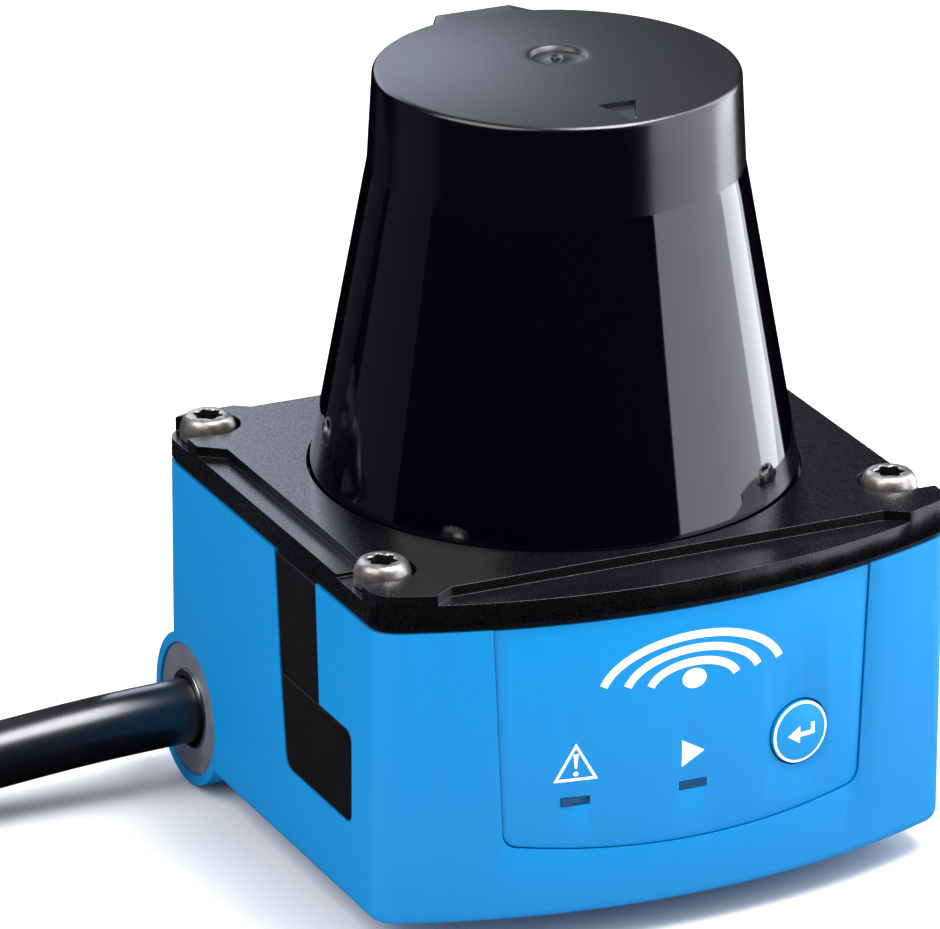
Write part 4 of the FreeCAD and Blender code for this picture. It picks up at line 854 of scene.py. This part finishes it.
# ---- printed marks ----------------------------------------------------------------------------
@dataclass
class PanelPrint:
    """White print on the panel and on the button, as thin layers of ink."""

    half_width_mm: float = 30.0
    front_middle_mm: float = 30.7
    bow_mm: float = 6.2
    film_depth_mm: float = 0.2
    ink_mm: float = 0.03            # how far the ink stands out
    sunk_mm: float = -0.05          # how deep it reaches into the film
    arcs_mm: tuple[tuple[float, float], ...] = ((4.6, 2.5), (7.0, 3.85), (9.45, 5.2))
    arc_stroke_mm: float = 0.78
    arc_foot_mm: float = 24.5
    button_x_mm: float = 11.6
    button_z_mm: float = 17.45
    button_radius_mm: float = 3.15
    dome_mm: float = 0.45
    light_x_mm: float = -11.8

    def on_panel(self, flat: np.ndarray, lift: float) -> np.ndarray:
        """Lay points of the flat print on the bowed panel.

        The front is an arc through both front corners and the middle: its radius is half the
        width squared plus the bow squared, over twice the bow. A point at x stands forward by the
        root of the radius squared less x squared, less what the radius exceeds the middle's
        distance.

        Args:
            flat: Points of shape (any, 2) as across and up, in millimetres.
            lift: Distance in front of the film, in millimetres.

        Returns:
            Points in metres.
        """
        half, bow = self.half_width_mm - self.film_depth_mm, self.bow_mm
        radius = (half ** 2 + bow ** 2) / (2 * bow)
        x, z = flat[..., 0], flat[..., 1]
        reach = np.sqrt(radius ** 2 - x ** 2) - radius + self.front_middle_mm - self.film_depth_mm
        outward = np.stack([x / radius, -np.sqrt(1 - (x / radius) ** 2), np.zeros_like(x)], axis=-1)
        return (np.stack([x, -reach, z], axis=-1) + outward * lift) * MM

    def on_button(self, flat: np.ndarray, lift: float) -> np.ndarray:
        """Lay points of the flat print on the button's dome.

        The dome is part of a ball through the button's edge. A point at distance r from the
        button's middle is as high as the dome less the ball's radius plus the root of its square
        less r squared.

        Args:
            flat: Points of shape (any, 2) as across and up from the button's middle, in
                millimetres.
            lift: Distance in front of the dome, in millimetres.

        Returns:
            Points in metres.
        """
        slope = 2 * self.bow_mm * self.button_x_mm / self.half_width_mm ** 2
        outward = np.array([slope, -1.0, 0.0]) / math.hypot(slope, 1)
        across = np.array([-outward[1], outward[0], 0.0])
        edge = self.front_middle_mm - self.bow_mm * (self.button_x_mm / self.half_width_mm) ** 2
        middle = np.array([self.button_x_mm, -edge, self.button_z_mm])
        ball = (self.button_radius_mm ** 2 + self.dome_mm ** 2) / (2 * self.dome_mm)
        a, b = flat[..., 0:1], flat[..., 1:2]
        high = self.dome_mm - ball + np.sqrt(ball ** 2 - a ** 2 - b ** 2) + lift
        return (middle + a * across + b * np.array([0, 0, 1.0]) + high * outward) * MM

    def ribbon(self, line: np.ndarray, width: float | np.ndarray, lay: Lay) -> Surface:
        """An inked stroke: a flat four-sided profile carried along a line, closed at both ends.

        At each point the stroke reaches half its width to both sides, at right angles to the
        line's own direction there.

        Args:
            line: Points of shape (any, 2).
            width: The stroke's width, or one width for each point.
            lay: What the print lies on.

        Returns:
            Vertices and faces.
        """
        along = np.gradient(line, axis=0)
        along /= np.linalg.norm(along, axis=1, keepdims=True)
        half = (np.asarray(width) / 2).reshape(-1, 1)
        aside = np.column_stack([-along[:, 1], along[:, 0]]) * half
        sides = np.stack([line + aside, line - aside], axis=1)
        under, over = lay(sides, self.sunk_mm), lay(sides, self.ink_mm)
        return closed_loft(np.stack([under[:, 0], over[:, 0], over[:, 1], under[:, 1]], axis=1))

    def patch(self, outline: np.ndarray, lay: Lay) -> Surface:
        """An inked area: its outline shrunk in steps towards its middle, under and over the film.

        Args:
            outline: Points of shape (any, 2) round the area.
            lay: What the print lies on.

        Returns:
            Vertices and faces.
        """
        middle = outline.mean(axis=0)
        under = [(share, self.sunk_mm) for share in (0.15, 0.6, 1.0)]
        over = [(share, self.ink_mm) for share in (1.0, 0.6, 0.15)]
        return closed_loft(np.array([lay(middle + (outline - middle) * share, depth)
                                     for share, depth in under + over]))

    @staticmethod
    def oval(x: float, z: float, half_x: float, half_z: float, count: int) -> np.ndarray:
        """Evenly turned points of an oval: the cosine across and the sine up.

        Args:
            x: The middle across, in millimetres.
            z: The middle's height.
            half_x: Half the width.
            half_z: Half the height.
            count: How many points.

        Returns:
            Points of shape (count, 2).
        """
        turn = np.radians(np.linspace(0, 360, count, endpoint=False))
        return np.column_stack([x + half_x * np.cos(turn), z + half_z * np.sin(turn)])

    @staticmethod
    def dense(corners: list[tuple[float, float]], closed: bool, step: float = 0.35) -> np.ndarray:
        """Points along straight runs between corners.

        Args:
            corners: The corners, in millimetres.
            closed: Whether the last corner runs back to the first.
            step: About how far apart the points are.

        Returns:
            Points of shape (any, 2).
        """
        ends = corners[1:] + corners[:1] if closed else corners[1:]
        runs = []
        for a, b in zip(np.array(corners), np.array(ends)):
            count = max(2, int(np.linalg.norm(b - a) / step))
            runs.append(a + (b - a) * np.linspace(0, 1, count, endpoint=False)[:, None])
        if not closed:
            runs.append(np.array(corners[-1:]))
        return np.vstack(runs)

    def frame_of(self, corners: list[tuple[float, float]], width: float, lay: Lay) -> Surface:
        """A closed outline of even width with sharp corners.

        The inner edge is the outer one shrunk towards the mean corner, by the width over the
        nearest side's distance from it.

        Args:
            corners: The outer corners, in millimetres.
            width: The outline's width.
            lay: What the print lies on.

        Returns:
            Vertices and faces.
        """
        outer = np.array(corners)
        middle = outer.mean(axis=0)
        sides, reach = outer - np.roll(outer, 1, axis=0), middle - np.roll(outer, 1, axis=0)
        cross = sides[:, 0] * reach[:, 1] - sides[:, 1] * reach[:, 0]
        nearest = (np.abs(cross) / np.linalg.norm(sides, axis=1)).min()
        line = self.dense(corners, True)
        inner = middle + (line - middle) * (1 - width / nearest)
        return closed_ring(np.array([lay(line, self.sunk_mm), lay(line, self.ink_mm),
                                     lay(inner, self.ink_mm), lay(inner, self.sunk_mm)]))

    def scan_mark(self) -> list[Surface]:
        """A made-up sign for scanning: three wide arcs over a dot, at the top of the panel.

        Returns:
            The strokes and the dot.
        """
        turn, parts = np.radians(np.linspace(14, 166, 60)), []
        for width, height in self.arcs_mm:
            arc = np.column_stack([width * np.cos(turn), self.arc_foot_mm + height * np.sin(turn)])
            parts.append(self.ribbon(arc, self.arc_stroke_mm, self.on_panel))
        dot = self.oval(0, self.arc_foot_mm + 0.8, 1.25, 1.0, 32)
        return parts + [self.patch(dot, self.on_panel)]

    def alert_sign(self) -> list[Surface]:
        """The outlined triangle with a bar and a dot, above the left light.

        Returns:
            The outline, the bar and the dot.
        """
        x = self.light_x_mm
        corners = [(x - 2.15, 16.6), (x + 2.15, 16.6), (x, 20.4)]
        bar = np.column_stack([np.full(12, x), np.linspace(19.3, 17.85, 12)])
        return [self.frame_of(corners, 0.26, self.on_panel),
                self.ribbon(bar, np.linspace(0.52, 0.2, 12), self.on_panel),
                self.patch(self.oval(x, 17.3, 0.24, 0.24, 20), self.on_panel)]

    def ready_sign(self) -> list[Surface]:
        """The solid triangle that points right, above the middle light."""
        outline = self.dense([(-1.2, 16.45), (1.15, 17.8), (-1.2, 19.15)], True)
        return [self.patch(outline, self.on_panel)]

    def button_marks(self) -> list[Surface]:
        """The button's ring, and its arrow that runs left and turns up at its right end.

        Returns:
            The ring, the arrow's head, its shaft and its tail.
        """
        circle = self.oval(0, 0, 1, 1, 96)
        loops = [self.on_button(circle * radius, depth) for radius, depth in
                 ((3.08, -0.03), (3.08, self.ink_mm), (2.84, self.ink_mm), (2.84, -0.03))]
        head = self.dense([(-1.62, -0.1), (-0.3, 0.78), (-0.3, -0.98)], True, 0.25)
        shaft = self.dense([(-0.45, -0.1), (1.22, -0.1)], False, 0.25)
        tail = self.dense([(1.22, -0.3), (1.22, 0.85)], False, 0.25)
        return [closed_ring(np.array(loops)), self.patch(head, self.on_button),
                self.ribbon(shaft, 0.42, self.on_button), self.ribbon(tail, 0.42, self.on_button)]

    def build(self) -> None:
        """Make each printed mark and let it ride on what it is printed on."""
        for name, parts, body in (("printed_scan_mark", self.scan_mark(), "housing"),
                                  ("printed_alert_sign", self.alert_sign(), "housing"),
                                  ("printed_ready_sign", self.ready_sign(), "housing"),
                                  ("printed_button_marks", self.button_marks(), "button")):
            piece = mesh_piece(name, parts, body, sharp=40)
            dress(piece, WHITE_INK.material())


# ---- service cover's fold ---------------------------------------------------------------------
@dataclass
class CoverFold:
    """The thin rubber web between the service cover's strap and its flap."""

    strap: tuple[Vector, Vector]    # lowest and highest corner
    flap: tuple[Vector, Vector]
    edge_mm: float = 8.55           # length of the web along the strap's lower edge
    end_mm: float = 0.1             # how far the web's ends stay back from the strap's
    inset_mm: float = 0.12          # how far the web lies under the cover's face
    thickness_mm: float = 0.42
    hidden_mm: float = 0.12         # how far it reaches into the strap and into the flap
    steps: int = 17

    def build(self) -> bpy.types.Object:
        """Carry a flat four-sided outline down from the strap to the flap, in even steps.

        The outline is the same at every step, from just inside the strap down to just inside the
        flap.

        Returns:
            The web.
        """
        top, bottom = self.strap[0][2], self.flap[1][2]
        x, y = self.strap[0][0] + self.inset_mm * MM, self.strap[0][1] + self.end_mm * MM
        deep, long = x + self.thickness_mm * MM, y + self.edge_mm * MM
        outline = np.array([(x, y), (x, long), (deep, long), (deep, y)])
        heights = np.linspace(top + self.hidden_mm * MM, bottom - self.hidden_mm * MM, self.steps)
        rings = np.dstack([np.broadcast_to(outline[None], (self.steps, 4, 2)),
                           np.broadcast_to(heights[:, None], (self.steps, 4))])
        piece = mesh_piece("service_cover_fold", [closed_loft(rings)], "", sharp=60)
        dress(piece, RUBBER.material())
        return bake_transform(piece)


# ---- cable ------------------------------------------------------------------------------------
@dataclass
class Cable:
    """The fixed connection cable: a lead to the table, a coil, and a tail to the round plug.

    The coil has two turns side by side on the table, a third on top of them, and a last part of a
    turn that lies highest and ends in the tail.
    """

    diameter: float = 0.0065
    length: float = 0.9
    slack: float = 1.004            # the curve runs just inside its points
    coil_degrees: tuple[int, int] = (1160, 15)      # how far the coil turns, and its step
    boss_face_mm: float = -30.0
    boss_y_mm: float = 20.1
    boss_z_mm: float = 7.7
    centre_mm: tuple[float, float] = (-88.0, 61.05)
    outer_mm: float = 40.95
    inner_mm: float = 34.45
    upper_mm: float = 37.7
    turn_z_mm: float = 3.85
    upper_z_mm: float = 9.505
    tail_z_mm: float = 16.7
    plug_z_mm: float = 20.255

    def on_coil(self, turn: float, radius: float, height: float) -> tuple[float, float, float]:
        """A point on the coil.

        Args:
            turn: Degrees clockwise from the coil's nearest side.
            radius: Distance from the coil's axis, in millimetres.
            height: Height over the table, in millimetres.

        Returns:
            The point in millimetres.
        """
        a = math.radians(turn)
        x, y = self.centre_mm
        return x - radius * math.sin(a), y - radius * math.cos(a), height

    def route(self) -> list[tuple[float, float, float]]:
        """The route's points in millimetres, in order from the boss to the plug.

        The lead sinks to the surface. Each turn of the coil is 24 points, whose radius and height
        change in straight shares between stations of (turn, radius, height).

        Returns:
            The points.
        """
        x, y, z = self.boss_face_mm, self.boss_y_mm, self.boss_z_mm
        lead = [(x + 14, y, z), (x - 4, y, z), (-52, y, 6.3), (-71, y + 0.2, 4.1)]
        low, high, top = self.turn_z_mm, self.upper_z_mm, self.tail_z_mm
        outer, inner, upper = self.outer_mm, self.inner_mm, self.upper_mm
        stations = [(0, outer, low), (315, outer - 0.3, low), (330, 38.6, low), (345, 36.0, low),
                    (360, inner, low), (645, inner, low + 0.7), (660, inner + 0.1, 6.6),
                    (675, 35.6, 9.0), (690, 37.0, 10.3), (705, upper, 10.4), (735, upper, high),
                    (990, upper, high), (1005, upper, high + 0.8), (1020, upper, 12.9),
                    (1035, upper, 15.6), (1050, upper, top + 0.4), (1080, upper, top),
                    (1160, upper, top + 0.3)]
        turns, radii, heights = (np.array(column) for column in zip(*stations))
        last, step = self.coil_degrees
        coil = [self.on_coil(a, float(np.interp(a, turns, radii)) * self.slack,
                             float(np.interp(a, turns, heights)))
                for a in range(0, last + 1, step)]
        cx, cy = self.centre_mm
        tail = [(cx - 35.9, cy + 13.3, top + 1.6), (cx - 27.5, cy + 24.6, self.plug_z_mm - 0.6),
                (cx - 14.9, cy + 31.0, self.plug_z_mm), (cx, cy + 31.0, self.plug_z_mm)]
        return lead + coil + tail

    def build(self, carried: list[bpy.types.Object]) -> bpy.types.Object:
        """Args:
            carried: The pieces on the cable: its ties and its plug. Not used.

        Returns:
            The sheath's curve.
        """
        points = self.route()
        curve = bpy.data.curves.new("connection_cable", "CURVE")
        curve.dimensions = "3D"
        spline = curve.splines.new("NURBS")
        spline.points.add(len(points) - 1)
        for place, point in zip(spline.points, points):
            place.co = (*(value * MM for value in point), 1.0)
            place.radius = self.diameter / 2
        spline.order_u = 3
        spline.use_endpoint_u = True
        # The sheath's radius is this depth times each point's radius, and the curve's own box adds
        # the point's radius.
        curve.bevel_depth = 1.0
        curve.bevel_resolution = 8
        curve.resolution_u = 6
        curve.use_fill_caps = True
        piece = bpy.data.objects.new("connection_cable", curve)
        bpy.context.scene.collection.objects.link(piece)
        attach(piece, "housing")
        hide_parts("cable_lead", "cable_coil", "cable_tail")
        dress(piece, SHEATH.material())
        LOG.info("cable: %d route points", len(points))
        return piece


@dataclass
class CoilTies:
    """Two woven hook tapes round the coil, each drawn tight over three runs of the cable."""

    cable: Cable
    width_mm: float = 5.0
    thickness_mm: float = 0.58
    play_mm: float = 0.02           # between the tape and the cable
    points_round: int = 72

    def one(self, side: float) -> Surface:
        """One tape: a band round the hull of the three runs' circles.

        In each direction round the section, the band's point is the circle's centre that reaches
        furthest that way, plus the circle's radius in that direction.

        Args:
            side: -1 for the tape left of the coil's middle, 1 for the one right of it.

        Returns:
            Vertices and faces.
        """
        cable = self.cable
        centres = np.array([(cable.outer_mm, cable.turn_z_mm), (cable.inner_mm, cable.turn_z_mm),
                            (cable.upper_mm, cable.upper_z_mm)])
        turn = np.radians(np.arange(self.points_round) * 360 / self.points_round)
        away = np.column_stack([np.cos(turn), np.sin(turn)])
        hull = centres[(away @ centres.T).argmax(axis=1)]
        x, y = cable.centre_mm
        inner = cable.diameter / MM / 2 + self.play_mm
        outer = inner + self.thickness_mm
        loops = []
        for radius, end in ((inner, -1), (outer, -1), (outer, 1), (inner, 1)):
            band = hull + away * radius
            across = np.full(len(band), y + end * self.width_mm / 2)
            loops.append(np.column_stack([x + side * band[:, 0], across, band[:, 1]]))
        return closed_ring(np.array(loops) * MM)

    def build(self) -> bpy.types.Object:
        """Make both tapes as one piece in place of the frame's node.

        Returns:
            The piece.
        """
        piece = mesh_piece("coil_hook_tapes", [self.one(-1), self.one(1)], "housing", sharp=50)
        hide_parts("coil_ties")
        dress(piece, WOVEN_TIE.material())
        return piece


# ---- studio -----------------------------------------------------------------------------------
@dataclass(frozen=True)
class SoftBox:
    """One soft light: it stands on a bearing from the object and faces it."""

    name: str
    bearing: float                  # degrees from the front towards the right
    rise: float                     # degrees above the horizon
    distance: float
    width: float
    height: float
    radiance: float
    colour: str = "#FFFFFF"
    lift: float = 0.0               # moved up or down from the bearing's line
    mirrored: bool = True           # whether it shows as a highlight

    def build(self, aim: Vector) -> None:
        """Stand the light in the scene: its power is its radiance times pi times its area.

        Args:
            aim: The point that it faces.
        """
        a, e = math.radians(self.bearing), math.radians(self.rise)
        away = Vector((math.sin(a) * math.cos(e), -math.cos(a) * math.cos(e), math.sin(e)))
        light = bpy.data.lights.new(self.name, "AREA")
        light.shape = "RECTANGLE"
        light.size, light.size_y = self.width, self.height
        light.energy = self.radiance * math.pi * self.width * self.height
        light.color = linear(self.colour)[:3]
        lamp = bpy.data.objects.new(self.name, light)
        lamp.location = aim + away * self.distance + Vector((0, 0, self.lift))
        lamp.rotation_euler = away.to_track_quat("Z", "Y").to_euler()
        lamp.visible_camera = False
        lamp.visible_glossy = self.mirrored
        bpy.context.scene.collection.objects.link(lamp)


@dataclass
class Studio:
    """A plain pale floor, soft boxes and the camera."""

    aim: tuple[float, float, float] = (0.0, 0.0, 0.045)
    boxes: tuple[SoftBox, ...] = (
        SoftBox("right_softbox", 70, 0, 0.45, 0.69, 0.66, 2.9, "#F4F8FF", lift=0.20),
        SoftBox("left_strip", -121, -2, 0.50, 0.34, 0.44, 0.16, "#C9B9DA", lift=0.03),
        SoftBox("overhead_softbox", -85, 50, 0.60, 0.50, 0.40, 4.2, "#FFFFFF"),
        SoftBox("top_softbox", 64, 71, 0.55, 0.40, 0.28, 18.0, "#FBFCFF"),
        SoftBox("rear_softbox", 182, 25, 0.70, 0.62, 0.34, 3.0, "#E0E8FF"),
        SoftBox("right_edge_softbox", 99, 0, 0.43, 0.19, 0.66, 3.2, "#F4F8FF", lift=0.20),
        SoftBox("fill_panel", -75, 15, 0.80, 0.70, 0.70, 2.5, "#FFFFFF", mirrored=False),
    )
    camera_azimuth: float = -25.2064
    camera_elevation: float = 21.7253
    camera_roll: float = 0.2139
    camera_distance: float = 0.7910
    camera_target: tuple[float, float, float] = (-0.0089266, 0.0, 0.037213)
    focal_mm: float = 316.82
    sensor_mm: float = 36.0
    world_colour: str = "#F3F4F6"
    world_strength: float = 0.30
    floor_half: float = 3.0
    floor_drop: float = 0.0002      # keeps the floor clear of what stands on it
    flag_x: float = -0.036
    flag_y: tuple[float, float] = (0.027, 0.112)
    flag_z: tuple[float, float] = (0.001, 0.060)

    @staticmethod
    def card(name: str, corners: list[tuple[float, float, float]],
             finish: Finish) -> bpy.types.Object:
        """A flat four-sided card that belongs to the studio.

        Args:
            name: The card's name.
            corners: Its corners in order.
            finish: What it is made of.

        Returns:
            The card.
        """
        mesh = bpy.data.meshes.new(name)
        mesh.from_pydata(corners, [], [(0, 1, 2, 3)])
        piece = bpy.data.objects.new(name, mesh)
        bpy.context.scene.collection.objects.link(piece)
        dress(piece, finish.material())
        return piece

    def floor(self) -> None:
        """A matt off-white table, left out of mirror reflections as a black flag would do."""
        half = self.floor_half
        paper = Finish("matt_white_paper", "#E0E0E0", 0.9, patch_colour="#DDDDDD", patch_mm=60.0,
                       grain_mm=2.0, relief_mm=0.002)
        table = self.card("studio_floor", [(-half, -half, 0), (half, -half, 0), (half, half, 0),
                                           (-half, half, 0)], paper)
        table.location.z = -self.floor_drop
        table.visible_glossy = False

    def flag(self) -> None:
        """A black card that only mirror reflections see, so the hood doesn't mirror the coil."""
        x, (near, far), (low, high) = self.flag_x, self.flag_y, self.flag_z
        flag = self.card("black_flag", [(x, near, low), (x, far, low), (x, far, high),
                                        (x, near, high)], Finish("black_card", "#020202", 0.9))
        flag.visible_camera = flag.visible_diffuse = flag.visible_shadow = False

    def world(self) -> None:
        """An even pale surround, also left out of mirror reflections."""
        world = bpy.data.worlds.new("pale_surround")
        world.use_nodes = True
        world.node_tree.nodes.clear()
        light = add_node(world.node_tree, "ShaderNodeBackground",
                         {"Color": linear(self.world_colour), "Strength": self.world_strength})
        add_node(world.node_tree, "ShaderNodeOutputWorld", {"Surface": light.outputs[0]})
        world.cycles_visibility.glossy = False
        bpy.context.scene.world = world

    def camera(self) -> None:
        """The long lens at the viewing angle, slightly rolled."""
        a, e = math.radians(self.camera_azimuth), math.radians(self.camera_elevation)
        back = Vector((math.sin(a) * math.cos(e), -math.cos(a) * math.cos(e), math.sin(e)))
        level = Vector((0, 0, 1)).cross(back).normalized()
        upright = back.cross(level)
        r = math.radians(self.camera_roll)
        right = level * math.cos(r) + upright * math.sin(r)
        up = upright * math.cos(r) - level * math.sin(r)
        lens = bpy.data.cameras.new("long_lens")
        lens.lens = self.focal_mm
        lens.sensor_width = self.sensor_mm
        lens.clip_start = 0.05
        eye = bpy.data.objects.new("long_lens", lens)
        place = Vector(self.camera_target) + back * self.camera_distance
        turned = Matrix((right, up, back)).transposed().to_4x4()
        eye.matrix_world = Matrix.Translation(place) @ turned
        bpy.context.scene.collection.objects.link(eye)
        bpy.context.scene.camera = eye

    def build(self) -> None:
        """Set up floor, surround, lights and camera, with plain colours."""
        self.floor()
        self.flag()
        self.world()
        for box in self.boxes:
            box.build(Vector(self.aim))
        self.camera()
        bpy.context.scene.view_settings.view_transform = "Standard"
        bpy.context.scene.view_settings.look = "None"


def main() -> None:
    """Load the frame, dress it and build every new piece in order."""
    logging.basicConfig(level=logging.INFO, format="%(name)s: %(message)s")
    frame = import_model()
    nodes = frame["nodes"]
    Studio().build()
    cable = Cable()
    plug = [nodes["plug_" + part] for part in ("boot", "body", "nut", "insert", "pins")]
    cable.build([CoilTies(cable).build(), *plug])
    carried = CarriedNodes(nodes)
    carried.dress()
    carried.soften()
    Hood(low=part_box("optics_hood")[0][2]).build()
    FlangeScrews().build()
    PanelPrint().build()
    CoverFold(strap=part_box("service_cover_strap"), flap=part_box("service_cover_flap")).build()
    bpy.context.view_layer.update()


if __name__ == "__main__":
    main()
